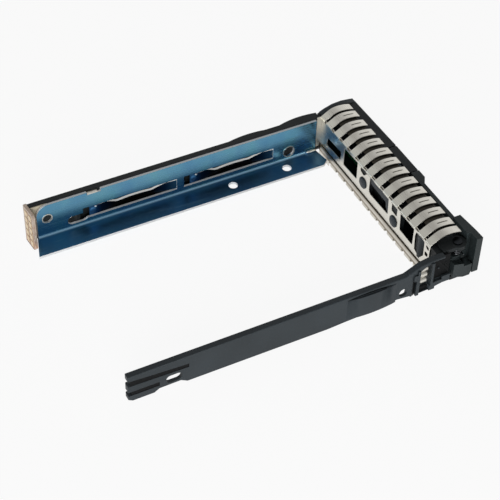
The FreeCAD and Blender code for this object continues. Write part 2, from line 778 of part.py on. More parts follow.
def grille_holes(x0, x1):
    """Round air holes on a staggered grid over the face's mouth, clear of the light ring."""
    holes = []
    row_step = grille_pitch * math.sqrt(3) / 2
    reach = face_border + grille_hole + 0.25
    rows = int((face_top - face_bottom) / 2 / row_step)
    columns = int((face_far - face_near) / grille_pitch)
    for row in range(-rows, rows + 1):
        z = ring_height + row * row_step
        for column in range(-columns, columns + 1):
            y = ring_place + (column + 0.5 * (row % 2)) * grille_pitch
            inside = face_near + reach < y < face_far - reach and face_bottom + reach < z < face_top - reach
            outside_ring = math.hypot(y - ring_place, z - ring_height) > ring_radius + grille_hole + 0.3
            if inside and outside_ring:
                holes.append(rod_x(y, z, grille_hole, x0, x1))
    return holes


def front_grille():
    """The perforated plate behind the face's mouth, with a round hole for the light ring."""
    x0 = front_x - grille_recess - grille_thickness
    x1 = front_x - grille_recess
    y0 = face_near + face_border + seat_gap
    y1 = face_far - face_border - seat_gap
    z0 = face_bottom + face_border + seat_gap
    z1 = face_top - face_border - seat_gap
    plate = box(x0, x1, y0, y1, z0, z1)
    corners = [e for e in plate.Edges if e.BoundBox.XLength > grille_thickness / 2]
    plate = plate.makeFillet(face_border / 2, corners)
    ring_hole = rod_x(ring_place, ring_height, ring_radius + seat_gap, x0 - 1, x1 + 1)
    return plate.cut([ring_hole] + grille_holes(x0 - 1, x1 + 1))


def light_ring():
    """The clear ring in the grille that shows the drive's activity, with the tube that lights it."""
    x0 = front_x - grille_recess - grille_thickness
    inner_radius = ring_radius - ring_width
    tube_radius = inner_radius - 0.7
    rim = rod_x(ring_place, ring_height, ring_radius, x0, front_x + 0.1).cut(
        rod_x(ring_place, ring_height, inner_radius, x0 + 0.5, front_x + 1))
    tube = rod_x(ring_place, ring_height, tube_radius, frame_front - 0.4, x0 + 0.2).cut(
        rod_x(ring_place, ring_height, tube_radius - 1.0, frame_front - 1, x0))
    return joined([rim, tube])


def light_board():
    """The circuit board inside the frame that carries the lamps."""
    x1 = frame_front - frame_wall - running_gap
    return box(x1 - light_board_thickness, x1, face_near + 1.5, bezel_far - frame_wall - 0.2,
               frame_bottom + frame_wall + 0.1, frame_top - frame_wall - 0.1)


def lamps():
    """Six small lamps on the light board, in a ring behind the light ring."""
    x0 = frame_front - frame_wall - running_gap
    found = []
    for i in range(6):
        angle = math.radians(60 * i + 30)
        y = ring_place + 3.2 * math.cos(angle)
        z = ring_height - 0.6 + 3.2 * math.sin(angle)
        found.append(box(x0, x0 + 0.6, y - 0.8, y + 0.8, z - 0.5, z + 0.5))
    return group(found)


def socket_rear():
    """Rear face of the socket that the flat circuit plugs into."""
    return frame_front - frame_wall - running_gap - light_board_thickness - 1.8


def board_socket():
    """The socket on the light board that the flat circuit plugs into."""
    y1 = bezel_far - frame_wall - 0.1
    return box(socket_rear(), socket_rear() + 1.8, y1 - 1.6, y1,
               flex_height - 0.6, flex_height + flex_width + 0.6)


def button_place():
    """Middle of the eject button across the caddy."""
    return (button_near + button_far) / 2


def eject_button():
    """The button that frees the lever: a hollow cap with a stem behind it."""
    x0 = frame_front + button_travel + running_gap + 0.6
    x1 = front_x + 0.3
    y0 = button_near
    y1 = button_far
    cap = box(x0, x1, y0, y1, button_bottom, button_top)
    front_edges = [e for e in cap.Edges if e.BoundBox.XLength < 0.01 and e.BoundBox.XMin > x1 - 0.01]
    cap = cap.makeFillet(0.6, front_edges)
    hollow = box(x0 - 1, x1 - button_wall, y0 + button_wall, y1 - button_wall,
                 button_bottom + button_wall, button_top - button_wall)
    middle = button_place()
    stem = box(frame_front - button_stem_reach, x1 - button_wall / 2, middle - 2.6, middle + 2.6,
               button_stem_middle - 2.9, button_stem_middle + 2.9)
    lens_hole = box(x1 - 3, x1 + 1, middle - button_lens_width / 2 - seat_gap,
                    middle + button_lens_width / 2 + seat_gap,
                    button_lens_low, button_lens_low + button_lens_height + 2 * seat_gap)
    return joined([cap.cut(hollow), stem]).cut(lens_hole)


def button_lens():
    """The small window in the button."""
    x1 = front_x + 0.3
    middle = button_place()
    return box(x1 - button_wall - 0.2, x1 - 0.1,
               middle - button_lens_width / 2, middle + button_lens_width / 2,
               button_lens_low + seat_gap, button_lens_low + seat_gap + button_lens_height)


def spring_seat():
    """The wall inside the frame that the button's spring pushes against."""
    x0 = frame_x + pillar_depth + 2 * seat_gap
    middle = button_place()
    reach = button_width / 2 - spring_seat_inset
    return box(x0, x0 + spring_seat_thickness, middle - reach, middle + reach,
               frame_bottom + frame_wall + seat_gap, frame_top - frame_wall - seat_gap)


def coil(radius, wire, length, turns):
    """An open coil of wire that rises along Z from the origin; the wire is a many-sided bar."""
    helix = Part.makeHelix(length / turns, length, radius)
    corners = []
    for i in range(spring_wire_sides):
        angle = 2 * math.pi * i / spring_wire_sides
        corners.append(Vector(radius + math.cos(angle) * wire / 2, 0, math.sin(angle) * wire / 2))
    section = Part.makePolygon(corners + corners[:1])
    return Part.Wire(helix.Edges).makePipeShell([section], True, True)


def button_spring():
    """The small compression spring behind the button's stem."""
    x0 = frame_x + pillar_depth + 2 * seat_gap + spring_seat_thickness
    x1 = frame_front - button_stem_reach
    wire = spring_wire
    spring = coil(1.5, wire, x1 - x0 - wire - 2 * seat_gap, 4)
    spring.rotate(Vector(0, 0, 0), Vector(0, 1, 0), 90)
    spring.translate(Vector(x0 + wire / 2 + seat_gap, button_place(), button_stem_middle))
    return spring


def lever_outline_parts():
    """The lever's plates as (outline, low z, high z), from its hinge end to its free end."""
    knuckle = [
        (knuckle_x, hook_near), (lever_front, hook_near), (lever_front - 0.1, lever_pin_y),
        (lever_front - 0.75, lever_grip_start), (knuckle_x, lever_grip_start),
    ]
    grip = [
        (grip_x - lever_thin, lever_grip_start - 0.5), (grip_x, lever_grip_start - 0.5),
        (grip_x, lever_grip_end + 0.5), (grip_x - lever_thin, lever_grip_end + 0.5),
    ]
    end = [
        (grip_x - lever_thin, lever_grip_end), (grip_x, lever_grip_end),
        (front_x + 0.15, lever_grip_end + 2.6), (front_x + 0.15, lever_end),
        (grip_x - lever_thin, lever_end),
    ]
    spine = [
        (lever_back, lever_pin_y + 4.0), (grip_x - lever_thin / 2, lever_pin_y + 4.0),
        (grip_x - lever_thin / 2, lever_end), (lever_back, lever_end),
    ]
    return [
        (knuckle, lever_bottom, lever_knuckle_top),
        (grip, lever_bottom, lever_top),
        (end, lever_bottom, lever_top),
        (spine, lever_bottom + 0.4, lever_bottom + 1.4),
        (spine, lever_spine_top - 1.0, lever_spine_top),
    ]


def eject_lever():
    """The lever: barrel and hook at the hinge, a knuckle plate, a thin grip and a thicker free end."""
    barrel_low = frame_bottom + lever_lug + running_gap
    solids = [prism_z(outline, z0, z1) for outline, z0, z1 in lever_outline_parts()]
    solids.append(rod_z(lever_pin_x, lever_pin_y, lever_barrel_radius, barrel_low, lever_barrel_top))
    solids.append(box(lever_pin_x, knuckle_x + 0.5, lever_pin_y - 1.8, lever_pin_y + 1.2,
                      barrel_low, lever_barrel_top))
    solids.append(box(lever_back, knuckle_x + 0.5, lever_pin_y, lever_pin_y + 5.0,
                      barrel_low, lever_barrel_top))
    solids.append(box(hook_rear, knuckle_x + 0.5, hook_near, hook_near + 2.5, hook_low, hook_high))
    solid = joined(solids)
    bore = hinge_clearance(frame_bottom - 1, frame_top + 1, lever_pin_radius + pin_gap)
    return solid.cut(bore)


def lever_face_plate():
    """The plain plate set on the front of the lever's grip."""
    return box(grip_x, grip_x + lever_plate, lever_grip_start + 1.0, lever_grip_end - 1.0,
               2.4, lever_top - 1.4)


def lever_pin():
    """The steel pin through the two hinge lugs and the lever's barrel."""
    shank = rod_z(lever_pin_x, lever_pin_y, lever_pin_radius, frame_bottom + 0.1, frame_top + 0.1)
    head = rod_z(lever_pin_x, lever_pin_y, lever_pin_radius + 0.5, frame_top + 0.02, frame_top + 0.35)
    return joined([shank, head])


def lever_spring():
    """The torsion spring around the pin, above the barrel; one leg bears on the lever, one on the frame."""
    wire = spring_wire
    radius = lever_pin_radius + 0.45
    low = lever_barrel_top + 2 * seat_gap + wire / 2
    high = frame_top - lever_lug - 2 * seat_gap - wire / 2
    spring = coil(radius, wire, high - low, 4)
    spring.translate(Vector(lever_pin_x, lever_pin_y, low))
    leg_low = rod_y(lever_pin_x + radius, low, wire / 2, lever_pin_y - 2.0, lever_pin_y - seat_gap)
    leg_high = rod_y(lever_pin_x + radius, high, wire / 2, lever_pin_y + seat_gap, lever_pin_y + 1.4)
    return group([spring, leg_low, leg_high])


def all_pieces():
    """Every piece by its node name."""
    return {
        "metal_rail": metal_rail(),
        "rail_clip": rail_clip(),
        "rail_spring_rear": rail_spring(0),
        "rail_spring_front": rail_spring(1),
        "rail_cover": rail_cover(),
        "contact_board": contact_board(),
        "contact_pads": contact_pads(),
        "contact_holder": contact_holder(),
        "flex_circuit": flex_circuit(),
        "near_arm": near_arm(),
        "ground_spring": ground_spring(),
        "shield_upper": shield_upper(),
        "shield_lower": shield_lower(),
        "shield_rivets": shield_rivets(),
        "bezel_frame": bezel_frame(),
        "bezel_face": bezel_face(),
        "front_grille": front_grille(),
        "light_ring": light_ring(),
        "light_board": light_board(),
        "lamps": lamps(),
        "board_socket": board_socket(),
        "eject_button": eject_button(),
        "button_lens": button_lens(),
        "button_spring": button_spring(),
        "spring_seat": spring_seat(),
        "eject_lever": eject_lever(),
        "lever_face_plate": lever_face_plate(),
        "lever_pin": lever_pin(),
        "lever_spring": lever_spring(),
    }


def main():
    pieces = all_pieces()
    bounds = FreeCAD.BoundBox()
    for shape in pieces.values():
        bounds.add(shape.optimalBoundingBox(False, False))
    to_origin = Vector(-bounds.Center.x, -bounds.Center.y, -bounds.ZMin)
    os.makedirs("parts", exist_ok=True)
    for name, shape in pieces.items():
        shape.translate(to_origin)
        shape.exportStep(os.path.join("parts", name + ".step"))
        state = "" if shape.isValid() else " NOT VALID"
        print(f"{name}: {len(shape.Solids)} solids, {shape.Volume:.1f} mm3{state}")
    print("origin moved by", [round(v, 3) for v in to_origin], "size", round(bounds.XLength, 2),
          round(bounds.YLength, 2), round(bounds.ZLength, 2))


main()
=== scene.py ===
"""Dresses the hot swap drive caddy: a finish for every solid, the pressed spring fingers, and the stage."""

import math

import bmesh
import bpy
from bpy.props import FloatProperty, FloatVectorProperty, IntProperty, PointerProperty, StringProperty
from bpy.types import Operator, Panel, PropertyGroup
from mathutils import Matrix, Vector


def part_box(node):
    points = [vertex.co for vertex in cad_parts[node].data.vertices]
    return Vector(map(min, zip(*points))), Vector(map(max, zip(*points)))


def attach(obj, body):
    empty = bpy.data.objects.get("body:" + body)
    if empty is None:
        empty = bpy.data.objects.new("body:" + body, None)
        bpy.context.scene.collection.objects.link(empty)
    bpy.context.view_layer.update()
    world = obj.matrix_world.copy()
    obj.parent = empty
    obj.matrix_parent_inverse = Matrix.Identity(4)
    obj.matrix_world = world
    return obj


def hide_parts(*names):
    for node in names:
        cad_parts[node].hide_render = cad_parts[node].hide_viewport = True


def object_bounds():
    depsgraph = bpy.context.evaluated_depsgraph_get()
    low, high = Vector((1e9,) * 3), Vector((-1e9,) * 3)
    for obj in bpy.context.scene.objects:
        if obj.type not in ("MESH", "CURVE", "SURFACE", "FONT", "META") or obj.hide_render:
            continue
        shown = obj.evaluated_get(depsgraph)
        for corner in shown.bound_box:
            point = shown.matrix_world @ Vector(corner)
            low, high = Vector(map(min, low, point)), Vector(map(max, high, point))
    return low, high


bl_info = {
    "name": "Hot swap drive caddy",
    "version": (1, 0, 0),
    "blender": (4, 5, 0),
    "location": "3D View > Sidebar > Caddy",
    "description": "Finishes and pressed details for a 2.5-inch server drive caddy",
    "category": "Object",
}

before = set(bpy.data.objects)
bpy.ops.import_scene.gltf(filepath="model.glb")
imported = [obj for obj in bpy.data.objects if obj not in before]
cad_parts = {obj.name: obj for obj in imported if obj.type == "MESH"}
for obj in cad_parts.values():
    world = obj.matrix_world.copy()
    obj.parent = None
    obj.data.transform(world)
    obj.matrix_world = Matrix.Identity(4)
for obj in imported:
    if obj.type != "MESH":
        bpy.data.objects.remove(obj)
CAD_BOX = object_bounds()
MM = 0.001

# The drive's datum: its rear side screw, mid-width and underside. Places below count from it, in millimetres.
RAIL_LOW, RAIL_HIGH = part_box("metal_rail")
DATUM = Vector((RAIL_LOW.x + 14.4 * MM, RAIL_HIGH.y - 35.895 * MM, RAIL_LOW.z + 0.8 * MM))

SCREW_PITCH = 76.6
SCREW_HEIGHT = 3.0
ROUND_HOLE = (-8.2, 7.0)  # the rail's rear hole, as x and z
WEB_FACE = 35.095  # the inner face of the rail's web
WEB_RIM = 34.98  # how far a rim on that face stands out
WEB_FOOT = 1.3  # above this height the rail is all web
FLANGE_BEND = 33.9  # where the flange begins to bend up into the web
STRIP_LOW = -2.3  # foot of the contact board and of the lower shield
LEAF_LENGTH = 32.3
LEAF_STARTS = {"rail_spring_rear": 3.6, "rail_spring_front": 38.4}
SHIELD_X = 88.5  # rear face of the upper shield
RIVETS = [(7.5, 6.8), (-11.3, 5.8)]  # across the caddy, and height
RIVET_RADIUS = 2.0
PLATE_EDGE = 0.03  # rounding of a stamped plate's edge
ARM_OUT = -38.5  # clear of the near arm's outer face
ARM_IN = -34.0  # clear of its inner face

# The range of a share, and how much of a noise's range takes part.
UNIT = (0.0, 1.0)
WHOLE = (0.2, 0.8)
MIDDLE = (0.3, 0.7)
PEAKS = (0.5, 0.8)

SHIELD_RIM = [(-31.5, 2.4), (35.6, 2.4), (35.6, 12.4), (-31.5, 12.4)]

# The windows of the upper shield as (y, z) corners, from the far side to the near side.
SHIELD_WINDOWS = [
    [(30.7, 7.9), (21.8, 8.5), (22.0, 5.2), (31.0, 4.8)],
    [(20.0, 11.5), (11.6, 12.0), (11.5, 5.2), (20.0, 4.8)],
    [(9.3, 12.0), (5.3, 12.2), (7.6, 9.7), (9.9, 10.4)],
    [(3.8, 12.1), (-7.5, 12.1), (-7.8, 5.8), (2.8, 5.5), (3.9, 6.3)],
    [(-9.6, 12.1), (-12.8, 12.0), (-12.7, 8.8), (-9.5, 9.1)],
    [(-14.6, 11.7), (-22.5, 12.2), (-22.4, 5.2), (-15.0, 5.4)],
    [(-23.8, 11.8), (-28.5, 11.7), (-28.6, 6.1), (-26.7, 3.6), (-23.7, 4.7), (-23.3, 9.8)],
    [(-29.4, 11.3), (-31.0, 11.2), (-31.0, 9.8), (-29.6, 10.4)],
    [(-29.2, 8.6), (-30.9, 8.6), (-30.7, 7.2), (-29.3, 7.0)],
]

# Boxes between two corners. First, what is cut from the near arm.
ARM_CUTS = [
    ((-2.2, -36.1, -3.0), (4.2, ARM_IN, 5.0)),  # thinning behind the rear screw hole
    ((73.8, -36.2, -3.0), (79.4, ARM_IN, 5.6)),  # thinning behind the front screw hole
    ((79.1, ARM_OUT, -1.0), (79.8, -37.3, 13.0)),  # groove in front of the rear rib
    ((86.6, -39.5, 3.4), (91.0, ARM_IN, 11.9)),  # recess at the front end
    ((79.75, ARM_OUT, -0.6), (80.75, -36.6, 6.6)),  # narrow pocket between the ribs
    ((81.8, ARM_OUT, 0.75), (85.45, -36.6, 2.6)),  # pocket under the window
    ((84.9, ARM_OUT, 2.5), (85.8, ARM_IN, 11.3)),  # gap in front of the ground spring
]
RAIL_TAB = [
    ((86.72, 35.0, 1.6), (88.5, 35.25, 13.6)),  # upright
    ((88.16, 28.2, -2.25), (88.36, 34.9, 0.1)),  # foot
]
ARM_RIBS = [
    ((77.8, -37.29, 1.7), (79.3, -36.0, 10.2)),  # rear rib
    ((81.0, -37.74, 0.3), (81.85, -36.3, 10.3)),  # middle rib
    ((90.2, -37.2, 1.5), (93.0, -36.4, 4.1)),  # sill in front of the recess
]
FRAME_WALL_SHADE = [
    ((86.7, -36.2, 2.5), (93.0, -35.9, 11.95)),  # wall at the bottom of the recess, near-black as painted shade
    ((79.8, -36.7, -0.2), (80.7, -36.55, 6.5)),  # floor of the narrow pocket, near-black as painted shade
    ((81.9, -36.7, 0.8), (85.7, -36.55, 2.5)),  # floor of the pocket under the window, near-black as painted shade
    ((-12.0, -37.2, 1.75), (-3.5, -36.9, 3.25)),  # floor of the lower slot between the prongs, near-black as painted shade
]
FRAME_CUTS = [((93.6, -37.5, -1.6), (100.4, -35.2, 0.25))]  # the near end of the lower hinge lug
LEVER_CUTS = [
    ((97.95, ARM_OUT, 5.0), (101.3, -33.6, 16.0)),  # gap behind the lever's plate
    ((100.9, ARM_OUT, -3.0), (101.3, -35.4, 5.5)),  # step beside the plate's foot
]

# Slots and wedges as (x, z) corners.
PRONG_SLOT = [(-15.5, 5.7), (5.8, 5.1), (5.8, 6.5), (-15.5, 7.95)]
# The slot floor and the brace are near-black plates of painted shade, made with the frame wall.
PRONG_SLOT_FLOOR = [(-12.3, 5.65), (5.75, 5.15), (5.75, 6.45), (-12.3, 7.7)]
WALL_BRACE = [(87.5, 11.6), (88.3, 11.6), (92.6, 5.6), (92.6, 4.6)]
LEVER_WEDGES = [[(94.0, 7.1), (101.0, 5.2), (101.0, 8.0), (94.0, 8.0)], [(94.0, 2.0), (98.5, 0.3), (94.0, 0.3)]]
CHEEK = [(89.4, 12.45), (91.5, 13.4), (94.3, 14.25), (97.6, 14.5), (100.6, 14.15), (102.1, 13.9), (102.1, 12.45)]

# The button's housing behind the shield as (y, z) corners.
HOUSING = [(4.2, 12.4), (-8.2, 12.4), (-8.2, 5.6), (-7.2, 5.6), (-5.9, 7.2), (-5.6, 9.0), (4.2, 9.4)]


# ---- sizes and colours


def tint_setting(name, wearer, colour):
    return StringProperty(name=name, description="Colour of " + wearer, default=colour)


def length_setting(name, description, size_mm):
    return FloatProperty(name=name, description=description, default=size_mm * MM, unit="LENGTH")


def angle_setting(name, description, degrees):
    return FloatProperty(name=name, description=description, default=math.radians(degrees), subtype="ANGLE")


def offset_setting(name, description, metres):
    return FloatVectorProperty(name=name, description=description, default=metres, size=3, subtype="TRANSLATION")


def level_setting(name, description, share):
    return FloatProperty(name=name, description=description, default=share, min=0.0)


class CaddyMetalSettings(PropertyGroup):
    rail_tint: tint_setting("Rail tint", "the blue-tinted rail sheet", "#6095ab")
    leaf_tint: tint_setting("Leaf tint", "the rail's leaf springs", "#6f8f9f")
    # The cut edges' near-white tint is partly their own uncoated steel and partly a painted highlight.
    sheared_glint_tint: tint_setting("Cut edge glint", "uncoated cut edges, whitened as a painted highlight", "#f6f8f9")
    nickel_tint: tint_setting("Nickel", "the nickel-plated strips", "#dcd9d0")
    steel_tint: tint_setting("Steel", "the wire springs", "#6b6d70")
    pin_tint: tint_setting("Pin", "the blackened hinge pin", "#232528")
    gold_tint: tint_setting("Gold", "the contact pads", "#d8c09a")
    grille_tint: tint_setting("Grille", "the paint on the perforated grille", "#3b3c3e")


class CaddyPlasticSettings(PropertyGroup):
    black: tint_setting("Black", "the black mouldings", "#1d2122")
    lever: tint_setting("Lever", "the eject lever's moulding", "#272e2f")
    charcoal: tint_setting("Charcoal", "the near arm", "#33393d")
    slate: tint_setting("Slate", "the push rivets", "#20272c")
    cream: tint_setting("Cream", "the contact holder", "#d8cdb4")
    film: tint_setting("Film", "the flat circuit", "#b7711f")
    copper: tint_setting("Board", "the contact board's face", "#cdb8a6")
    copper_low: tint_setting("Board foot", "the contact board's foot", "#c9824f")
    mask: tint_setting("Solder mask", "the light board", "#1d5a38")
    resin: tint_setting("Lamp resin", "the lamps", "#dfe3da")
    clear: tint_setting("Light guide", "the clear plastic", "#cfd6d8")
    plate: tint_setting("Lever plate", "the plate on the lever", "#4a4d50")
    wall_shade: tint_setting("Recess shade", "near-black plates drawn as painted shade at the frame's side and in the pockets", "#040506")
    underlay_shade: tint_setting("Underlay shade", "the sheet under the fingers", "#3f3b33")


class CaddyFingerSettings(PropertyGroup):
    count: IntProperty(name="Count", description="Fingers in the upper row", default=14, min=3)
    pitch: length_setting("Pitch", "Distance from finger to finger", 5.18)
    width: length_setting("Width", "Width of a finger", 3.25)
    end_width: length_setting("End width", "Width of the two end fingers", 2.85)
    end_step: length_setting("End step", "Distance from an end finger to the next", 4.05)
    first: length_setting("First", "Place of the second finger across the caddy", 30.7)
    sheet: length_setting("Sheet", "Thickness of the spring sheet", 0.3)
    mark_width: length_setting("Mark width", "Width of the line pressed in a finger", 0.34)
    mark_depth: length_setting("Mark depth", "Depth of the pressed line", 0.16)
    mark_start: length_setting("Mark start", "Start of the line from the plate", 5.3)
    mark_end: length_setting("Mark end", "End of the line from the plate", 8.9)


class CaddyStageSettings(PropertyGroup):
    azimuth: angle_setting("Azimuth", "Turn of the camera from +Y towards +X", 28.545)
    elevation: angle_setting("Elevation", "Camera above the horizon", 44.135)
    roll: angle_setting("Roll", "Turn of the camera about its own axis", 1.958)
    distance: length_setting("Distance", "Camera to target", 447.733)
    lens: FloatProperty(name="Lens", description="Focal length on a 36 mm sensor", default=105.713, unit="CAMERA")
    target: offset_setting("Target", "Place looked at, from the datum", (0.042779, -0.002654, 0.005))
    key: FloatProperty(name="Key", description="Power of the soft light beside the near arm", default=7.6,
                       unit="POWER")
    key_size: length_setting("Key size", "Width of the soft light", 800.0)
    key_place: offset_setting("Key place", "Place of the soft light from the target", (-0.44, -0.78, 0.14))
    sky_back: level_setting("Sky behind", "Strength of the sky beyond the caddy", 0.72)
    sky_front: level_setting("Sky in front", "Strength of the sky behind the camera", 0.42)
    sky_top: level_setting("Sky overhead", "Share of the sky that is left overhead", 0.5)
    sky_share: level_setting("Sky on matt pieces", "Share of the sky that matt pieces get", 0.4)
    floor_glow: level_setting("Floor glow", "Strength of the floor's own white", 1.06)
    floor_share: level_setting("Floor share", "Share of that white over the floor's shadow", 0.88)


# ---- places and nodes


def at(x, y, z):
    """A place in millimetres from the drive's datum, as metres in the part's frame."""
    return DATUM + Vector((x, y, z)) * MM


def linear(hex_colour):
    """An sRGB hex colour as linear RGBA."""
    values = [int(hex_colour[i:i + 2], 16) / 255 for i in (1, 3, 5)]
    return [v / 12.92 if v <= 0.04045 else ((v + 0.055) / 1.055) ** 2.4 for v in values] + [1.0]


def add(tree, kind, inputs=(), **attributes):
    """Adds a node, sets its attributes, and sets or links each input; a hex colour is made linear."""
    node = tree.nodes.new(kind)
    for name, value in attributes.items():
        setattr(node, name, value)
    for key, value in dict(inputs).items():
        if isinstance(value, bpy.types.NodeSocket):
            tree.links.new(value, node.inputs[key])
        else:
            node.inputs[key].default_value = linear(value) if isinstance(value, str) else value
    return node


def computed(operation, *values, clamp=False):
    """The result of a Math node, in the tree that its values come from."""
    tree = next(value.id_data for value in values if isinstance(value, bpy.types.NodeSocket))
    return add(tree, "ShaderNodeMath", enumerate(values), operation=operation, use_clamp=clamp).outputs["Value"]


def parts_of(vector):
    """The X, Y and Z of a vector."""
    return add(vector.id_data, "ShaderNodeSeparateXYZ", {"Vector": vector}).outputs


def attribute(tree, name):
    """A value stored at the vertices of a mesh."""
    return add(tree, "ShaderNodeAttribute", attribute_name=name).outputs["Fac"]


def face_normal(tree):
    """The direction a face looks in."""
    return add(tree, "ShaderNodeNewGeometry").outputs["Normal"]


def ranged(value, given, made=UNIT):
    """A value moved from one range to another, held at the ends."""
    return add(value.id_data, "ShaderNodeMapRange", {"Value": value, "From Min": given[0], "From Max": given[1],
                                                     "To Min": made[0], "To Max": made[1]}).outputs["Result"]


def blended(share, first, second):
    """Two colours mixed by share. A Mix node takes colours at its inputs 6 and 7 and gives one at output 2."""
    return add(share.id_data, "ShaderNodeMix", {0: share, 6: first, 7: second}, data_type="RGBA").outputs[2]


def washed(value, given, share, first, second):
    """The first colour going over to the second, by up to share, as a value runs through a range."""
    return blended(ranged(value, given, (0.0, share)), first, second)


def ramped(value, stops):
    """A colour read off a row of (position, colour) stops."""
    ramp = add(value.id_data, "ShaderNodeValToRGB", {"Fac": value})
    while len(ramp.color_ramp.elements) < len(stops):
        ramp.color_ramp.elements.new(1.0)
    for element, (position, colour) in zip(ramp.color_ramp.elements, stops):
        element.position = position
        element.color = linear(colour)
    return ramp.outputs["Color"]


def speckle(place, size_mm, detail=2.0, stretch=(1, 1, 1)):
    """A noise value whose grains are about size_mm wide, drawn out along an axis by stretch."""
    tree = place.id_data
    scaled = add(tree, "ShaderNodeMapping", {"Vector": place, "Scale": [1 / s for s in stretch]})
    return add(tree, "ShaderNodeTexNoise", {"Vector": scaled.outputs["Vector"], "Scale": 1 / (size_mm * MM),
                                            "Detail": detail}).outputs["Fac"]


def rounded_normal(tree, radius_mm):
    """The normal of a piece as if its edges were rounded."""
    return add(tree, "ShaderNodeBevel", {"Radius": radius_mm * MM}, samples=6).outputs["Normal"]


def edge_share(tree, radius_mm):
    """A value that rises at the edges of a piece, where a rounded normal leans from the flat one."""
    lean = add(tree, "ShaderNodeVectorMath", {0: rounded_normal(tree, radius_mm), 1: face_normal(tree)},
               operation="DOT_PRODUCT")
    return ranged(lean.outputs["Value"], (1.0, 0.8))


def softened_normal(radius_mm, height, distance_mm):
    """Rounded edges with a bump over them."""
    tree = height.id_data
    return add(tree, "ShaderNodeBump", {"Height": height, "Distance": distance_mm * MM, "Strength": 1.0,
                                        "Normal": rounded_normal(tree, radius_mm)}).outputs["Normal"]


def new_tree(owner):
    """The empty node tree of a new material or world."""
    owner.use_nodes = True
    owner.node_tree.nodes.clear()
    return owner.node_tree


def new_finish(name):
    """A new material and its object coordinates."""
    material = bpy.data.materials.new(name)
    return material, add(new_tree(material), "ShaderNodeTexCoord").outputs["Object"]


def close_finish(material, colour, roughness, relief, inputs=()):
    """Ends a material in one principled shader and returns it; the relief is what softened_normal takes."""
    shader = add(material.node_tree, "ShaderNodeBsdfPrincipled", {
        "Base Color": colour, "Roughness": roughness, "Normal": softened_normal(*relief), **dict(inputs)})
    add(material.node_tree, "ShaderNodeOutputMaterial", {"Surface": shader.outputs["BSDF"]})
    return material


def close_metal(material, colour, grain, roughness, radius_mm, relief_mm):
    """Ends a metal: its grain runs from smooth to rough, over edges rounded by the radius."""
    return close_finish(material, colour, ranged(grain, WHOLE, roughness), (radius_mm, grain, relief_mm),
                        {"Metallic": 1.0})


# ---- finishes


def sheared_share(spot, across, lying):
    """1 on the rail's bare stamped edges: faces that look neither across the web nor up from the flange."""
    on_web = ranged(spot["Z"], (at(0, 0, WEB_FOOT).z, at(0, 0, WEB_FOOT + 0.01).z))
    web_edge = ranged(across, (0.6, 0.4))
    end_edge = ranged(computed("MAXIMUM", lying, across), (0.5, 0.3))
    off_web = computed("LESS_THAN", spot["Y"], at(0, FLANGE_BEND, 0).y)
    long_edge = computed("MULTIPLY", ranged(lying, (0.6, 0.4)), off_web)
    flange_edge = computed("MAXIMUM", end_edge, long_edge)
    below = computed("MULTIPLY", flange_edge, computed("SUBTRACT", 1.0, on_web))
    return computed("MAXIMUM", below, computed("MULTIPLY", web_edge, on_web))


def blue_tinted_steel(name, tint, sheared_glint):
    """Stainless sheet with a thin blue interference tint, cold-rolled: mirror-like, finely lined along the roll.

    The tint is a film whose thickness drifts, so it runs from green-blue to violet along the sheet.
    """
    material, place = new_finish(name)
    lines = speckle(place, 0.5, 3.0, (40, 1, 1))
    clouds = speckle(place, 9.0, 2.0)
    drift = speckle(place, 16.0, 1.0, (0.4, 1, 1))
    streaks = speckle(place, 1.4, 3.0, (8, 1, 1))
    spot = parts_of(place)
    normal = parts_of(face_normal(material.node_tree))
    across = computed("ABSOLUTE", normal["Y"])
    lying = computed("ABSOLUTE", normal["Z"])
    bluer = washed(clouds, (0.35, 0.65), 0.5, tint, "#4a84a6")
    lined = washed(lines, (0.3, 0.8), 0.25, bluer, "#84adbc")
    violet = washed(drift, (0.45, 0.72), 0.3, lined, "#3b62a0")
    green = washed(drift, (0.45, 0.25), 0.3, violet, "#5fa5a0")
    # Painted reflection: faces lying flat, the flange most, are washed a deeper blue.
    flat_face_reflection = washed(lying, (0.5, 1.0), 0.5, green, "#4f6d9e")
    # Painted reflection: flat faces towards the rear are washed a lighter blue.
    rearward = ranged(spot["X"], (at(45, 0, 0).x, at(10, 0, 0).x), (0.0, 0.8))
    rear_flange_reflection = blended(computed("MULTIPLY", rearward, lying, clamp=True), flat_face_reflection, "#5f96bc")
    # Painted reflection: light streaks on the flat faces.
    sheen_share = computed("MULTIPLY", ranged(streaks, (0.6, 0.72), (0.0, 0.35)), lying)
    streaked = blended(sheen_share, rear_flange_reflection, "#8fb4cc")
    # Painted highlight: faces along the bend, between the web and the flange, are washed pale blue.
    bend_highlight = washed(computed("MAXIMUM", lying, across), (0.95, 0.78), 0.7, streaked, "#a3cdea")
    # Cut edges: near-white and nearly matt, partly their own uncoated steel and partly a painted highlight; bluer
    # towards the web's top edge.
    cut = sheared_share(spot, across, lying)
    edge = washed(spot["Z"], (at(0, 0, 12.0).z, at(0, 0, 13.0).z), 0.4, sheared_glint, tint)
    smooth = computed("ADD", ranged(lines, WHOLE, (0.19, 0.32)), ranged(lying, (0.5, 1.0), (0.0, 0.1)))
    return close_finish(material, blended(cut, bend_highlight, edge), computed("MULTIPLY_ADD", cut, 0.3, smooth),
                        (0.12, lines, 0.004), {"Metallic": ranged(cut, UNIT, (1.0, 0.1))})


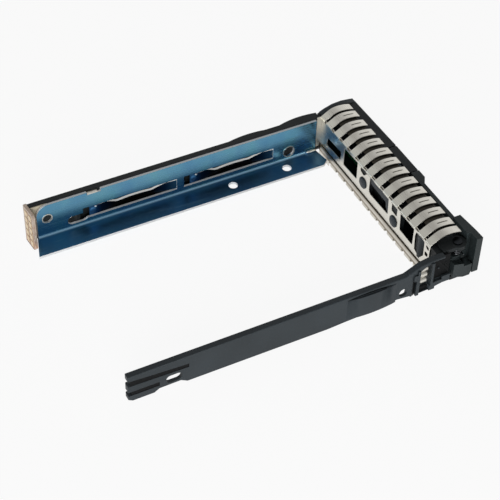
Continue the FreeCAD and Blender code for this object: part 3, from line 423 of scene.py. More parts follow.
def tempered_leaf_painted_light(name, tint):
    """Spring steel coloured by tempering: blue at the root and the dome; nearly black along the bow as painted
    shade.
    """
    material, place = new_finish(name)
    tree = material.node_tree
    along = attribute(tree, "along")
    lines = speckle(place, 0.4, 3.0, (20, 1, 1))
    # Painted shade: the bow, inside the cover's channel, is drawn nearly black.
    temper_and_bow_shade = ramped(along, [(0.0, tint), (0.12, "#2c4257"), (0.26, "#0d0f14"), (0.72, "#08090b"),
                          (0.86, "#1d2d40"), (0.97, "#3d6c96")])
    # Painted highlight: upward faces short of the dome are drawn white and matt as a glint.
    sheen_share = ranged(parts_of(face_normal(tree))["Z"], (0.4, 0.6))
    glint = ranged(computed("SUBTRACT", along, 0.52), (0.3, 0.4), (1.0, 0.0))
    top_glint = computed("MULTIPLY", sheen_share, glint)
    return close_finish(material, blended(top_glint, temper_and_bow_shade, "#f2f1ee"), ranged(along, (0.9, 0.97), (0.16, 0.42)),
                        (0.05, lines, 0.004), {"Metallic": ranged(top_glint, UNIT, (1.0, 0.0))})


def nickel_plate(name, tint):
    """Nickel-plated spring steel, barrel-plated: satin and warm, with soft clouds and faint scuffs."""
    material, place = new_finish(name)
    clouds = speckle(place, 3.0, 3.0)
    scuffs = speckle(place, 0.35, 4.0, (1, 12, 1))
    shade = washed(clouds, MIDDLE, 0.35, tint, "#c4bfb3")
    scuffed = washed(scuffs, PEAKS, 0.4, shade, "#efede8")
    tree = material.node_tree
    # Painted highlight: the upper face of each finger's root is washed lighter.
    root_highlight = washed(attribute(tree, "root"), UNIT, 0.8, scuffed, "#f0eee2")
    # Painted shade: the line pressed into each finger is washed dark.
    colour = washed(attribute(tree, "pressed"), UNIT, 0.75, root_highlight, "#3d3a36")
    return close_metal(material, colour, scuffs, (0.22, 0.4), 0.08, 0.006)


def shadow_banded_strip(name, tint):
    """The lower strip's nickel, as the plate: duller fingers, and painted shadow lines along its bend and top
    edge.
    """
    material, place = new_finish(name)
    clouds = speckle(place, 3.0, 3.0)
    scuffs = speckle(place, 0.5, 4.0, (1, 6, 1))
    height = ranged(parts_of(place)["Z"], (at(0, 0, STRIP_LOW).z, at(0, 0, 2.4).z))
    # Painted shade: a brown shadow line along the bend, and a dark band at the top edge where the strip meets the
    # plate.
    shadow_bands = ramped(height, [(0.0, "#dcd8ce"), (0.38, "#d8d4ca"), (0.46, "#8f8473"), (0.52, "#7c705f"),
                            (0.58, "#a2988a"), (0.66, "#d8d4cb"), (0.86, "#bcb6aa"), (0.95, "#6f675b")])
    clouded = washed(clouds, MIDDLE, 0.35, shadow_bands, "#8b8272")
    return close_metal(material, washed(scuffs, PEAKS, 0.5, clouded, tint), scuffs, (0.25, 0.42), 0.1, 0.01)


def drawn_steel(name, tint, along):
    """Bright drawn or turned steel: fine lines along the working direction."""
    material, place = new_finish(name)
    lines = speckle(place, 0.25, 3.0, along)
    return close_metal(material, washed(lines, MIDDLE, 0.4, tint, "#3a3d40"), lines, (0.2, 0.36), 0.06, 0.004)


def gold_plate(name, tint):
    """Hard gold over nickel: polished, with light wipe marks."""
    material, place = new_finish(name)
    wipes = speckle(place, 0.3, 2.0, (1, 1, 6))
    return close_metal(material, washed(wipes, PEAKS, 0.4, tint, "#ead9bd"), wipes, (0.15, 0.3), 0.04, 0.003)


def moulded_plastic(name, tint, lighter_tint, grain_mm, roughness):
    """Injection-moulded plastic with a spark-eroded grain: matt, lighter at its edges from wear and a painted
    highlight.

    The grain is drawn coarser than the real 0.1 mm one so that it shows. Hollows gather shade.
    """
    material, place = new_finish(name)
    grain = speckle(place, grain_mm, 4.0)
    flow = speckle(place, 14.0, 1.0)
    shade = washed(flow, MIDDLE, 0.25, tint, lighter_tint)
    speck = washed(grain, (0.55, 0.75), 0.35, shade, lighter_tint)
    tree = material.node_tree
    # Edges lighter: partly wear, partly a painted highlight.
    edged = washed(edge_share(tree, 0.18), UNIT, 0.55, speck, lighter_tint)
    # Painted shade: hollows are darkened towards near-black.
    hollow = add(tree, "ShaderNodeAmbientOcclusion", {"Distance": 2.2 * MM}, samples=8).outputs["AO"]
    colour = washed(hollow, (0.8, 0.25), 0.85, edged, "#050606")
    return close_finish(material, colour, ranged(grain, MIDDLE, (roughness - 0.06, roughness + 0.1)),
                        (0.15, grain, 0.02), {"IOR": 1.53, "Specular IOR Level": 0.2})


def contact_board_face(name, face, foot):
    """Copper-clad board edge and face: beige with rubbed vertical streaks, turning copper at its foot."""
    material, place = new_finish(name)
    streaks = speckle(place, 0.7, 4.0, (1, 1, 3))
    blots = speckle(place, 1.4, 2.0)
    height = parts_of(place)["Z"]
    low = at(0, 0, STRIP_LOW).z
    warm = washed(height, (low + 5.0 * MM, low + 1.0 * MM), 0.75, face, foot)
    streaked = washed(streaks, (0.45, 0.7), 0.7, warm, "#f0e6da")
    blotted = washed(blots, (0.5, 0.7), 0.5, streaked, "#b98f74")
    hem = washed(height, (low + 0.5 * MM, low + 0.35 * MM), 1.0, blotted, "#5b3423")
    return close_finish(material, hem, ranged(streaks, WHOLE, (0.3, 0.55)), (0.15, streaks, 0.03),
                        {"Metallic": 0.35})


def glossy_film(name, tint):
    """Polyimide film over copper tracks: amber and glossy, the tracks showing as darker lines."""
    material, place = new_finish(name)
    wave = computed("MULTIPLY", parts_of(place)["Z"], 2 * math.pi / (0.6 * MM))
    tracks = computed("SINE", wave)
    return close_finish(material, washed(tracks, (0.0, 0.3), 0.6, tint, "#7a430f"), 0.22, (0.03, tracks, 0.01),
                        {"Coat Weight": 0.3})


def solder_mask(name, tint):
    """Green solder mask over fibreglass board: satin, with traces showing through as paler lines."""
    material, place = new_finish(name)
    cells = add(material.node_tree, "ShaderNodeTexVoronoi", {"Vector": place, "Scale": 1 / (1.6 * MM)},
                distance="MANHATTAN", feature="DISTANCE_TO_EDGE").outputs["Distance"]
    return close_finish(material, washed(cells, (0.08, 0.05), 0.6, tint, "#3f8a5c"), 0.35, (0.05, cells, 0.01))


def clear_resin(name, tint, through):
    """Clear polycarbonate or lamp resin, moulded and glossy, slightly milky."""
    material, place = new_finish(name)
    haze = speckle(place, 2.0, 2.0)
    return close_finish(material, washed(haze, MIDDLE, 0.3, tint, "#eef2f2"), ranged(haze, MIDDLE, (0.08, 0.2)),
                        (0.1, haze, 0.004), {"IOR": 1.58, "Transmission Weight": through})


def painted_grille(name, tint):
    """Powder-coated perforated sheet: dark, with a fine orange-peel skin."""
    material, place = new_finish(name)
    peel = speckle(place, 0.3, 2.0)
    edges = edge_share(material.node_tree, 0.1)
    return close_finish(material, washed(edges, UNIT, 0.4, tint, "#6d6f72"),
                        ranged(peel, MIDDLE, (0.35, 0.5)), (0.08, peel, 0.02))


# ---- pieces and shapes


def linked(name, data):
    """A new object in the scene."""
    made = bpy.data.objects.new(name, data)
    bpy.context.scene.collection.objects.link(made)
    return made


def plain_mesh(thing):
    """The mesh that an object shows once its modifiers have run; the object itself goes."""
    mesh = bpy.data.meshes.new_from_object(thing.evaluated_get(bpy.context.evaluated_depsgraph_get()))
    bpy.data.objects.remove(thing)
    return mesh


def wear(nodes, material):
    """Gives CAD nodes a finish."""
    for name in nodes:
        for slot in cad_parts[name].material_slots:
            slot.material = material


def finish_of(node):
    """The finish that a CAD node wears."""
    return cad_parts[node].material_slots[0].material


def piece(name, shape, material, replaced=(), body="carrier"):
    """Links a finished mesh as a piece of the caddy; a bmesh is closed first."""
    mesh = shape if isinstance(shape, bpy.types.Mesh) else closed_mesh(name, shape)
    made = linked(name, mesh)
    mesh.materials.clear()
    mesh.materials.append(material)
    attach(made, body)
    if replaced:
        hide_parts(*replaced)
    return made


def welded(mesh, distance_mm):
    """Closes the seams of a mesh and turns its faces outwards."""
    work = bmesh.new()
    work.from_mesh(mesh)
    bmesh.ops.remove_doubles(work, verts=work.verts, dist=distance_mm * MM)
    bmesh.ops.recalc_face_normals(work, faces=work.faces)
    work.to_mesh(mesh)
    work.free()
    return mesh


def closed_mesh(name, work, smooth_angle=30):
    """Ends a bmesh as a mesh with outward faces, smooth but for its edges."""
    bmesh.ops.recalc_face_normals(work, faces=work.faces)
    mesh = bpy.data.meshes.new(name)
    work.to_mesh(mesh)
    work.free()
    for polygon in mesh.polygons:
        polygon.use_smooth = True
    mesh.set_sharp_from_angle(angle=math.radians(smooth_angle))
    return mesh


def ring_of_points(centre, radius, count):
    """A circle as a closed outline."""
    turns = [2 * math.pi * i / count for i in range(count)]
    return [Vector((centre[0] + radius * math.cos(t), centre[1] + radius * math.sin(t))) for t in turns]


def rounded_outline(corners, radius, steps=5):
    """A closed outline with its corners rounded; the radius gives way on short sides."""
    points = []
    for i, corner in enumerate(corners):
        here = Vector(corner)
        before = Vector(corners[i - 1]) - here
        after = Vector(corners[(i + 1) % len(corners)]) - here
        half = before.angle(after) / 2
        reach = min(radius / math.tan(half), 0.45 * before.length, 0.45 * after.length)
        start = here + before.normalized() * reach
        end = here + after.normalized() * reach
        for k in range(steps + 1):
            t = k / steps
            points.append(start * (1 - t) ** 2 + here * 2 * t * (1 - t) + end * t ** 2)
    return points


def standing_plate(name, outlines, thickness, x):
    """An upright plate across the caddy from closed (y, z) outlines: its rim first, then its holes."""
    curve = bpy.data.curves.new(name, "CURVE")
    curve.dimensions = "2D"
    curve.fill_mode = "BOTH"
    curve.extrude = (thickness / 2 - PLATE_EDGE) * MM
    curve.bevel_depth = PLATE_EDGE * MM
    curve.bevel_resolution = 1
    curve.offset = -PLATE_EDGE * MM
    for outline in outlines:
        spline = curve.splines.new("POLY")
        spline.points.add(len(outline) - 1)
        for point, place in zip(spline.points, outline):
            point.co = (place[0] * MM, place[1] * MM, 0, 1)
        spline.use_cyclic_u = True
    mesh = plain_mesh(linked(name, curve))
    upright = Matrix(((0, 0, 1), (1, 0, 0), (0, 1, 0))).to_4x4()
    mesh.transform(Matrix.Translation(at(x, 0, 0)) @ upright)
    return welded(mesh, 0.002)


def loft(work, rings, closed=False):
    """Joins rings of vertices by faces, and caps both ends unless the rings run in a circle."""
    pairs = list(zip(rings, rings[1:]))
    if closed:
        pairs.append((rings[-1], rings[0]))
    else:
        work.faces.new(rings[0])
        work.faces.new(rings[-1])
    for one, other in pairs:
        for k in range(len(one)):
            m = (k + 1) % len(one)
            work.faces.new((one[k], one[m], other[m], other[k]))


def boxes(corners):
    """A bmesh of boxes, each between two places in millimetres from the datum."""
    work = bmesh.new()
    for low, high in corners:
        low, high = at(*low), at(*high)
        for vert in bmesh.ops.create_cube(work, size=1.0)["verts"]:
            vert.co = Vector([low[k] + (vert.co[k] + 0.5) * (high[k] - low[k]) for k in range(3)])
    return work


def prism(work, outline, near, far):
    """Adds an upright prism from its (x, z) outline between two depths across the caddy."""
    loft(work, [[work.verts.new(at(x, y, z)) for x, z in outline] for y in (near, far)])


def rod(work, start, end, radius, steps=24):
    """Adds a closed rod between two places."""
    start, end = at(*start), at(*end)
    axis = end - start
    turn = axis.to_track_quat("Z", "Y").to_matrix().to_4x4()
    bmesh.ops.create_cone(work, cap_ends=True, segments=steps, radius1=radius * MM, radius2=radius * MM,
                          depth=axis.length, matrix=Matrix.Translation((start + end) / 2) @ turn)


def ball(work, centre, radii, steps=20):
    """Adds a closed egg-shaped ball and returns its vertices."""
    made = bmesh.ops.create_uvsphere(work, u_segments=steps, v_segments=steps // 2, radius=1.0)["verts"]
    for vert in made:
        vert.co = at(*centre) + Vector([vert.co[k] * radii[k] for k in range(3)]) * MM
    return made


def tube(work, centre, outer, inner, length, steps=32):
    """Adds a tube along Y, open through its middle."""
    x, y, z = centre
    rings = []
    for along, radius in ((0, outer), (length, outer), (length, inner), (0, inner)):
        rings.append([work.verts.new(at(p.x, y + along, p.y)) for p in ring_of_points((x, z), radius, steps)])
    loft(work, rings, closed=True)


def carved(node, name, tool, body="carrier"):
    """Replaces a node with a copy of it that a tool mesh has cut."""
    blank = linked(name + " blank", welded(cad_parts[node].data.copy(), 0.001))
    cutter = linked(name + " cutter", closed_mesh("cutter", tool))
    cut = blank.modifiers.new("carve", "BOOLEAN")
    cut.operation = "DIFFERENCE"
    cut.solver = "EXACT"
    cut.use_self = True
    cut.object = cutter
    shape = plain_mesh(blank)
    bpy.data.objects.remove(cutter)
    piece(name, welded(shape, 0.0005), finish_of(node), [node], body)


# ---- springs


def finger_path():
    """The arch of a finger as (x, z) places in millimetres from the shield's plate and the datum, root to tip."""
    root = [Vector(place) for place in ((0.0, 11.9), (0.0, 12.62), (0.1, 12.8), (1.6, 13.72))]
    guide = [Vector(place) for place in ((3.1, 14.62), (4.0, 14.98), (4.86, 15.19), (6.0, 15.29), (7.2, 15.23),
                                         (8.4, 15.1), (9.6, 14.85), (10.75, 14.5))]
    last = len(guide) - 1
    path = []
    for i in range(last):
        p0, p1, p2, p3 = (guide[min(max(k, 0), last)] for k in range(i - 1, i + 3))
        for t in (0, 1 / 3, 2 / 3):
            path.append(0.5 * (2 * p1 + (p2 - p0) * t + (2 * p0 - 5 * p1 + 4 * p2 - p3) * t ** 2
                               + (3 * p1 - p0 - 3 * p2 + p3) * t ** 3))
    return root + path + [guide[last]]


def finger_mesh(settings, width, ribbed):
    """One finger as a closed bent strip about y = 0; a ribbed one has a short line pressed into its arch."""
    path = finger_path()
    root_end, edge, drop = 3.05, 0.08, 0.06
    half, mark, sheet, depth = (v / MM for v in (width / 2, settings.mark_width / 2, settings.sheet,
                                                 settings.mark_depth))
    across = [-half, edge - half, -mark - drop, -mark, mark, mark + drop, half - edge, half]
    work = bmesh.new()
    pressed = work.verts.layers.float.new("pressed")
    root = work.verts.layers.float.new("root")
    rings = []
    for i, here in enumerate(path):
        ahead = path[min(i + 1, len(path) - 1)] - path[max(i - 1, 0)]
        out = Vector((-ahead.y, ahead.x)).normalized()
        marked = ribbed and settings.mark_start < here.x * MM < settings.mark_end
        upper, lower = [], []
        for y in across:
            sunk = depth if marked and abs(y) <= mark else 0.0
            round_off = drop if abs(y) == half else 0.0
            high = here - out * (sunk + round_off)
            low = here - out * (sheet - round_off)
            upper.append(work.verts.new(Vector((high.x, y, high.y)) * MM))
            lower.append(work.verts.new(Vector((low.x, y, low.y)) * MM))
            # Marks the pressed line for its painted shade and the root for its painted highlight.
            upper[-1][pressed] = 1.0 if sunk else 0.0
            upper[-1][root] = 1.0 if here.x < root_end else 0.0
        rings.append(upper + lower[::-1])
    loft(work, rings)
    return closed_mesh("finger blank", work, 8)


def finger_row_tree(material):
    """A Geometry Nodes tree that sets a blank at even steps across the caddy."""
    tree = bpy.data.node_groups.new("Row of spring fingers", "GeometryNodeTree")
    face = tree.interface
    for name, kind in (("Geometry", "Geometry"), ("Blank", "Object"), ("Count", "Int"), ("Pitch", "Float"),
                       ("First", "Vector")):
        face.new_socket(name, in_out="INPUT", socket_type="NodeSocket" + kind)
    face.new_socket("Geometry", in_out="OUTPUT", socket_type="NodeSocketGeometry")
    given = add(tree, "NodeGroupInput").outputs
    step = add(tree, "ShaderNodeCombineXYZ", {"Y": computed("MULTIPLY", given["Pitch"], -1.0)})
    line = add(tree, "GeometryNodeMeshLine", {"Count": given["Count"], "Start Location": given["First"],
                                              "Offset": step.outputs["Vector"]}, mode="OFFSET")
    blank = add(tree, "GeometryNodeObjectInfo", {"Object": given["Blank"]})
    placed = add(tree, "GeometryNodeInstanceOnPoints", {"Points": line.outputs["Mesh"],
                                                        "Instance": blank.outputs["Geometry"]})
    solid = add(tree, "GeometryNodeRealizeInstances", {"Geometry": placed.outputs["Instances"]})
    dressed = add(tree, "GeometryNodeSetMaterial", {"Geometry": solid.outputs["Geometry"], "Material": material})
    add(tree, "NodeGroupOutput", {"Geometry": dressed.outputs["Geometry"]})
    return tree


def run_tree(tree, values):
    """The plain mesh that a Geometry Nodes tree gives."""
    holder = linked(tree.name, bpy.data.meshes.new(tree.name))
    modifier = holder.modifiers.new(tree.name, "NODES")
    modifier.node_group = tree
    for item in tree.interface.items_tree:
        if item.in_out == "INPUT" and item.name in values:
            modifier[item.identifier] = values[item.name]
    return plain_mesh(holder)


def leaf_mesh(start):
    """A leaf spring in a web slot: rooted at the slot's front end, bowed outwards, with a domed tip."""
    steps, dome, past_tip, bow, sheet = 36, 1.35, 1.3, 1.3, 0.3
    low, high, shaved = 2.4, 6.15, 1.75
    tip = start + 3.6
    end = start + LEAF_LENGTH
    work = bmesh.new()
    share = work.verts.layers.float.new("along")
    rings = []
    for i in range(steps + 1):
        t = i / steps
        x = end - t * (end - tip + past_tip)
        y = WEB_FACE + 0.2 + bow * math.sin(math.pi * min(t / 0.9, 1.0)) ** 1.3 + 0.25 * t
        back = sheet + 0.15 * math.sin(math.pi * t)
        top = high - shaved * max(0.0, min(1.0, (t - 0.12) / 0.16)) * max(0.0, min(1.0, (0.8 - t) / 0.12))
        ring = [work.verts.new(at(x, *place)) for place in ((y, low), (y, top - back), (y + back, top),
                                                            (y + back, low))]
        for vert in ring:
            vert[share] = t
        rings.append(ring)
    loft(work, rings)
    for vert in ball(work, (tip, WEB_FACE + 0.8, 4.3), (dome, 0.55, dome)):
        vert[share] = 1.0
    # A small bump by the dome whose top carries the painted white glint.
    ball(work, (tip + 0.85, WEB_FACE + 0.5, 5.35), (0.5, 0.45, 0.36), 12)
    return closed_mesh("leaf spring", work)


def underlay_mesh():
    """A dark sheet that follows the fingers' arch from below, as painted shade between the fingers."""
    near, far, gap, sheet = -28.2, 34.2, 0.75, 0.2
    work = bmesh.new()
    loft(work, [[work.verts.new(at(SHIELD_X + place.x, y, place.y - drop))
                 for y, drop in ((near, gap), (far, gap), (far, gap + sheet), (near, gap + sheet))]
                for place in finger_path() if 3.0 < place.x < 10.2])
    return closed_mesh("shield underlay", work)


# ---- operators


class CADDY_OT_stage(Operator):
    """Makes the floor, the surround, one soft light and the camera"""
    bl_idname = "caddy.stage"
    bl_label = "Stage"

    def execute(self, context):
        settings = context.scene.caddy_stage
        self.floor(settings)
        self.surround(context.scene, settings)
        target = DATUM + Vector(settings.target)
        self.camera(context.scene, settings, target)
        self.light(settings, target)
        return {"FINISHED"}

    def camera(self, scene, settings, target):
        """A camera turned, tipped and rolled about the target."""
        turn, tip, roll = settings.azimuth, settings.elevation, settings.roll
        forward = Vector((math.sin(turn) * math.cos(tip), math.cos(turn) * math.cos(tip), -math.sin(tip)))
        level = Vector((math.cos(turn), -math.sin(turn), 0))
        upright = level.cross(forward)
        right = level * math.cos(roll) + upright * math.sin(roll)
        up = upright * math.cos(roll) - level * math.sin(roll)
        data = bpy.data.cameras.new("camera")
        data.lens = settings.lens
        data.sensor_width = 36.0
        data.clip_start = 0.01
        data.clip_end = 50.0
        camera = linked("camera", data)
        turned = Matrix((right, up, -forward)).transposed().to_4x4()
        camera.matrix_world = Matrix.Translation(target - forward * settings.distance) @ turned
        scene.camera = camera

    def light(self, settings, target):
        """A wide soft light aimed at the target."""
        data = bpy.data.lights.new("key light", "AREA")
        data.shape = "DISK"
        data.size = settings.key_size
        data.energy = settings.key
        light = linked("key light", data)
        light.location = target + Vector(settings.key_place)
        light.rotation_mode = "QUATERNION"
        light.rotation_quaternion = (-Vector(settings.key_place)).to_track_quat("-Z", "Y")

    def floor(self, settings):
        """A pale floor that shows white to the camera and to gloss, and keeps a soft shadow."""
        half = 6.0
        z = CAD_BOX[0].z - 0.02 * MM
        mesh = bpy.data.meshes.new("floor")
        corners = [(-half, -half, z), (half, -half, z), (half, half, z), (-half, half, z)]
        mesh.from_pydata(corners, [], [(0, 1, 2, 3)])
        material = bpy.data.materials.new("matt white studio floor")
        tree = new_tree(material)
        grain = add(tree, "ShaderNodeTexNoise", {"Scale": 30.0}).outputs["Fac"]
        shade = washed(grain, MIDDLE, 0.1, "#f4f4f3", "#ececea")
        paper = add(tree, "ShaderNodeBsdfDiffuse", {"Color": shade})
        glow = add(tree, "ShaderNodeEmission", {"Color": "#fdfdfd", "Strength": settings.floor_glow})
        mixed = add(tree, "ShaderNodeMixShader", {0: self.seen(tree, settings.floor_share),
                                                  1: paper.outputs["BSDF"], 2: glow.outputs["Emission"]})
        add(tree, "ShaderNodeOutputMaterial", {"Surface": mixed.outputs["Shader"]})
        mesh.materials.append(material)
        linked("floor", mesh)

    def seen(self, tree, share):
        """The share for rays from the camera, from gloss and through clear plastic, and 0 for the rest."""
        path = add(tree, "ShaderNodeLightPath").outputs
        either = computed("ADD", path["Is Camera Ray"], path["Is Glossy Ray"])
        any_ray = computed("ADD", either, path["Is Transmission Ray"], clamp=True)
        return computed("MULTIPLY", any_ray, share)

    def surround(self, scene, settings):
        """A white sky, full beyond the caddy, dimmer on the camera's side and overhead."""
        world = bpy.data.worlds.new("white surround")
        tree = new_tree(world)
        way = parts_of(add(tree, "ShaderNodeTexCoord").outputs["Generated"])
        level = ranged(way["Y"], (-0.35, 0.35), (settings.sky_front, settings.sky_back))
        side = ranged(way["X"], (-0.5, 0.7), (0.8, 1.25))
        above = ranged(way["Z"], (0.55, 0.95), (1.0, settings.sky_top))
        share = ranged(self.seen(tree, 1.0), UNIT, (settings.sky_share, 1.0))
        strength = level
        for factor in (side, above, share):
            strength = computed("MULTIPLY", strength, factor)
        sky = add(tree, "ShaderNodeBackground", {"Color": "#fdfdfd", "Strength": strength})
        add(tree, "ShaderNodeOutputWorld", {"Surface": sky.outputs["Background"]})
        scene.world = world
        scene.view_settings.view_transform = "Standard"


class CADDY_OT_rail(Operator):
    """Finishes the metal rail, its clip and its two leaf springs"""
    bl_idname = "caddy.rail"
    bl_label = "Metal rail"

    def execute(self, context):
        tints = context.scene.caddy_metal
        wear(["metal_rail"], blue_tinted_steel("blue-tinted stainless sheet", tints.rail_tint, tints.sheared_glint_tint))
        tempered = tempered_leaf_painted_light("tempered spring steel", tints.leaf_tint)
        for node, start in LEAF_STARTS.items():
            piece(node + "_leaf", leaf_mesh(start), tempered, [node])
        nickel = nickel_plate("nickel-plated clip", tints.nickel_tint)
        wear(["rail_clip"], nickel)
        tab = boxes(RAIL_TAB)
        # A nickel bead in the front end of the bend, put there for its painted highlight.
        ball(tab, (84.9, 34.6, 0.6), (2.0, 0.55, 0.55))
        # Nickel rims round the two web holes: partly their cut edges, partly a painted highlight.
        tube(tab, (ROUND_HOLE[0], WEB_RIM, ROUND_HOLE[1]), 1.78, 1.45, 0.2)
        tube(tab, (SCREW_PITCH, WEB_RIM, SCREW_HEIGHT), 2.25, 1.95, 0.2)
        piece("rail_front_tab", tab, nickel)
        return {"FINISHED"}


class CADDY_OT_mouldings(Operator):
    """Finishes the plastic mouldings and adds the small ones behind the rail and the shield"""
    bl_idname = "caddy.mouldings"
    bl_label = "Plastic mouldings"

    def execute(self, context):
        tints = context.scene.caddy_plastic
        # Each finish: its tint, lighter tint for grain, edge wear and painted edge highlights, grain in
        # millimetres, roughness and nodes.
        for name, tint, lighter_tint, grain, roughness, nodes in (
                ("moulded black PC-ABS", tints.black, "#3b4043", 0.5, 0.5,
                 ["rail_cover", "bezel_frame", "bezel_face", "eject_button", "spring_seat"]),
                ("moulded black-green PC-ABS", tints.lever, "#566062", 0.5, 0.42, ["eject_lever"]),
                ("moulded charcoal PC-ABS", tints.charcoal, "#4c555b", 0.5, 0.46, ["near_arm"]),
                ("moulded slate nylon", tints.slate, "#4f5a63", 0.4, 0.38, ["shield_rivets"]),
                ("smooth grey polycarbonate plate", tints.plate, "#6c7074", 0.35, 0.3, ["lever_face_plate"]),
                ("moulded cream nylon", tints.cream, "#efe7d4", 0.4, 0.45, ["contact_holder", "board_socket"])):
            wear(nodes, moulded_plastic(name, tint, lighter_tint, grain, roughness))
        wells = bmesh.new()
        for x in (0.0, SCREW_PITCH):
            tube(wells, (x, 35.98, SCREW_HEIGHT), 2.95, 1.9, 2.4)
        rod(wells, (ROUND_HOLE[0], 35.5, ROUND_HOLE[1]), (ROUND_HOLE[0], 35.85, ROUND_HOLE[1]), 1.46)
        piece("screw_wells", wells, finish_of("rail_cover"))
        post = bmesh.new()
        rod(post, (90.7, -26.1, 3.4), (90.7, -26.0, 11.6), 2.35)
        prism(post, CHEEK, 36.9, 38.9)
        piece("frame_post", post, finish_of("near_arm"))
        housing = standing_plate("button housing", [rounded_outline(HOUSING, 0.3)], 0.3, SHIELD_X + 0.5)
        piece("button_housing", housing, finish_of("shield_rivets"))
        return {"FINISHED"}


class CADDY_OT_electronics(Operator):
    """Finishes the boards, pads, flat circuit, lamps and clear pieces"""
    bl_idname = "caddy.electronics"
    bl_label = "Boards and lamps"

    def execute(self, context):
        tints = context.scene.caddy_plastic
        gold = context.scene.caddy_metal.gold_tint
        wear(["contact_board"], contact_board_face("copper-clad contact board", tints.copper, tints.copper_low))
        wear(["contact_pads"], gold_plate("hard gold plate", gold))
        wear(["flex_circuit"], glossy_film("polyimide flat circuit", tints.film))
        wear(["light_board"], solder_mask("green solder mask", tints.mask))
        wear(["lamps"], clear_resin("lamp resin", tints.resin, 0.3))
        wear(["light_ring", "button_lens"], clear_resin("clear polycarbonate", tints.clear, 0.6))
        return {"FINISHED"}


class CADDY_OT_small_metal(Operator):
    """Finishes the grille, the hinge pin and the coil springs"""
    bl_idname = "caddy.small_metal"
    bl_label = "Grille, pin and springs"

    def execute(self, context):
        tints = context.scene.caddy_metal
        wear(["front_grille"], painted_grille("powder-coated perforated sheet", tints.grille_tint))
        wear(["lever_pin"], drawn_steel("black-oxide steel pin", tints.pin_tint, (1, 1, 20)))
        wear(["button_spring", "lever_spring"], drawn_steel("drawn spring wire", tints.steel_tint, (1, 1, 1)))
        return {"FINISHED"}


class CADDY_OT_shield(Operator):
    """Builds the upper shield's plate and fingers, and finishes the lower shield and the ground spring"""
    bl_idname = "caddy.shield"
    bl_label = "Spring shield"

    def execute(self, context):
        settings = context.scene.caddy_fingers
        tint = context.scene.caddy_metal.nickel_tint
        nickel = nickel_plate("nickel-plated spring steel", tint)
        wear(["ground_spring"], nickel)
        wear(["shield_lower"], shadow_banded_strip("burnished nickel strip", tint))
        self.fingers(settings, nickel)
        heads = bmesh.new()
        for y, z in RIVETS:
            ball(heads, (88.35, y, z), (0.55, RIVET_RADIUS + 0.1, RIVET_RADIUS + 0.1), 10)
        piece("rivet_heads", closed_mesh("rivet heads", heads, 20), finish_of("shield_rivets"))
        self.plate(settings, nickel)
        # Painted shade: a dark olive-brown sheet that shows through the gaps between the fingers.
        brown = context.scene.caddy_plastic.underlay_shade
        olive = moulded_plastic("moulded olive-brown insulator", brown, "#5b5548", 0.5, 0.4)
        piece("shield_underlay", underlay_mesh(), olive)
        bead = boxes([((SHIELD_X + 0.42, -29.0, 12.3), (SHIELD_X + 0.62, 34.6, 12.85))])
        piece("shield_bead", bead, nickel)
        return {"FINISHED"}

    def fingers(self, settings, nickel):
        """The marked fingers in one row, and the two plain end fingers in another."""
        tree = finger_row_tree(nickel)
        span = (settings.count - 3) * settings.pitch + 2 * settings.end_step
        rows = [("shield_fingers", settings.width, True, settings.count - 2, settings.pitch, settings.first),
                ("shield_end_fingers", settings.end_width, False, 2, span, settings.first + settings.end_step)]
        for name, width, ribbed, count, pitch, first in rows:
            blank = linked("finger blank", finger_mesh(settings, width, ribbed))
            row = run_tree(tree, {"Blank": blank, "Count": count, "Pitch": pitch,
                                  "First": at(SHIELD_X, first / MM, 0)})
            bpy.data.objects.remove(blank)
            piece(name, row, nickel, ["shield_upper"] if ribbed else [])

    def plate(self, settings, nickel):
        """The windowed plate that the fingers grow from, with its rivet holes."""
        sheet = settings.sheet / MM
        outlines = [SHIELD_RIM] + [rounded_outline(corners, 0.5) for corners in SHIELD_WINDOWS]
        outlines += [ring_of_points(centre, RIVET_RADIUS, 28) for centre in RIVETS]
        mesh = standing_plate("shield plate", outlines, sheet, SHIELD_X + sheet / 2)
        piece("shield_plate", mesh, nickel)


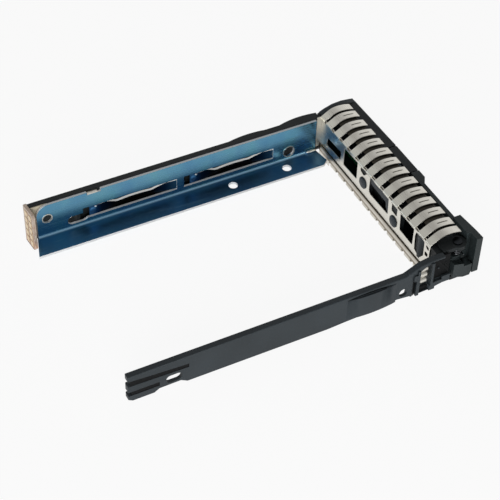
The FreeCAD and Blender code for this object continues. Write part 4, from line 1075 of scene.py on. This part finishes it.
class CADDY_OT_arm(Operator):
    """Thins the near arm behind its two screw holes, opens its prongs and the recess at its front end"""
    bl_idname = "caddy.arm"
    bl_label = "Near arm"

    def execute(self, context):
        tool = boxes(ARM_CUTS)
        prism(tool, PRONG_SLOT, ARM_OUT, ARM_IN)
        carved("near_arm", "arm_moulding", tool)
        ribs = boxes(ARM_RIBS)
        ball(ribs, (89.0, -36.35, 7.6), (0.4, 0.35, 0.35), 12)
        piece("arm_ribs", ribs, finish_of("near_arm"))
        # Near-black plates, a brace and a small ring, drawn as painted shade in the recess, the pockets and the
        # slot.
        wall_shade = boxes(FRAME_WALL_SHADE)
        prism(wall_shade, PRONG_SLOT_FLOOR, -37.2, -36.9)
        prism(wall_shade, WALL_BRACE, -36.5, -36.1)
        tube(wall_shade, (91.9, -36.3, 8.3), 0.75, 0.4, 0.5, 20)
        deep = moulded_plastic("moulded black frame wall", context.scene.caddy_plastic.wall_shade, "#0c1014", 0.5, 0.75)
        piece("frame_side_wall", wall_shade, deep)
        return {"FINISHED"}


class CADDY_OT_lever(Operator):
    """Trims the frame's lower hinge lug, and opens the lever's recess and the gap behind its plate"""
    bl_idname = "caddy.lever"
    bl_label = "Eject lever"

    def execute(self, context):
        carved("bezel_frame", "frame_moulding", boxes(FRAME_CUTS))
        tool = boxes(LEVER_CUTS)
        for wedge in LEVER_WEDGES:
            prism(tool, wedge, ARM_OUT, -34.9)
        carved("eject_lever", "lever_moulding", tool, "lever")
        return {"FINISHED"}


class CADDY_PT_panel(Panel):
    """Lists the caddy's pieces"""
    bl_label = "Caddy"
    bl_idname = "CADDY_PT_panel"
    bl_space_type = "VIEW_3D"
    bl_region_type = "UI"
    bl_category = "Caddy"

    def draw(self, context):
        for operator in OPERATORS:
            self.layout.operator(operator.bl_idname)


SETTINGS = {
    "caddy_metal": CaddyMetalSettings,
    "caddy_plastic": CaddyPlasticSettings,
    "caddy_fingers": CaddyFingerSettings,
    "caddy_stage": CaddyStageSettings,
}
OPERATORS = [CADDY_OT_stage, CADDY_OT_rail, CADDY_OT_mouldings, CADDY_OT_electronics, CADDY_OT_small_metal,
             CADDY_OT_shield, CADDY_OT_arm, CADDY_OT_lever]
CLASSES = [*SETTINGS.values(), *OPERATORS, CADDY_PT_panel]


def register():
    for kind in CLASSES:
        bpy.utils.register_class(kind)
    for name, group in SETTINGS.items():
        setattr(bpy.types.Scene, name, PointerProperty(type=group))


def unregister():
    for name in SETTINGS:
        delattr(bpy.types.Scene, name)
    for kind in reversed(CLASSES):
        bpy.utils.unregister_class(kind)


def main():
    register()
    bpy.ops.caddy.stage()
    bpy.ops.caddy.rail()
    bpy.ops.caddy.mouldings()
    bpy.ops.caddy.electronics()
    bpy.ops.caddy.small_metal()
    bpy.ops.caddy.shield()
    bpy.ops.caddy.arm()
    bpy.ops.caddy.lever()


if __name__ == "__main__":
    main()
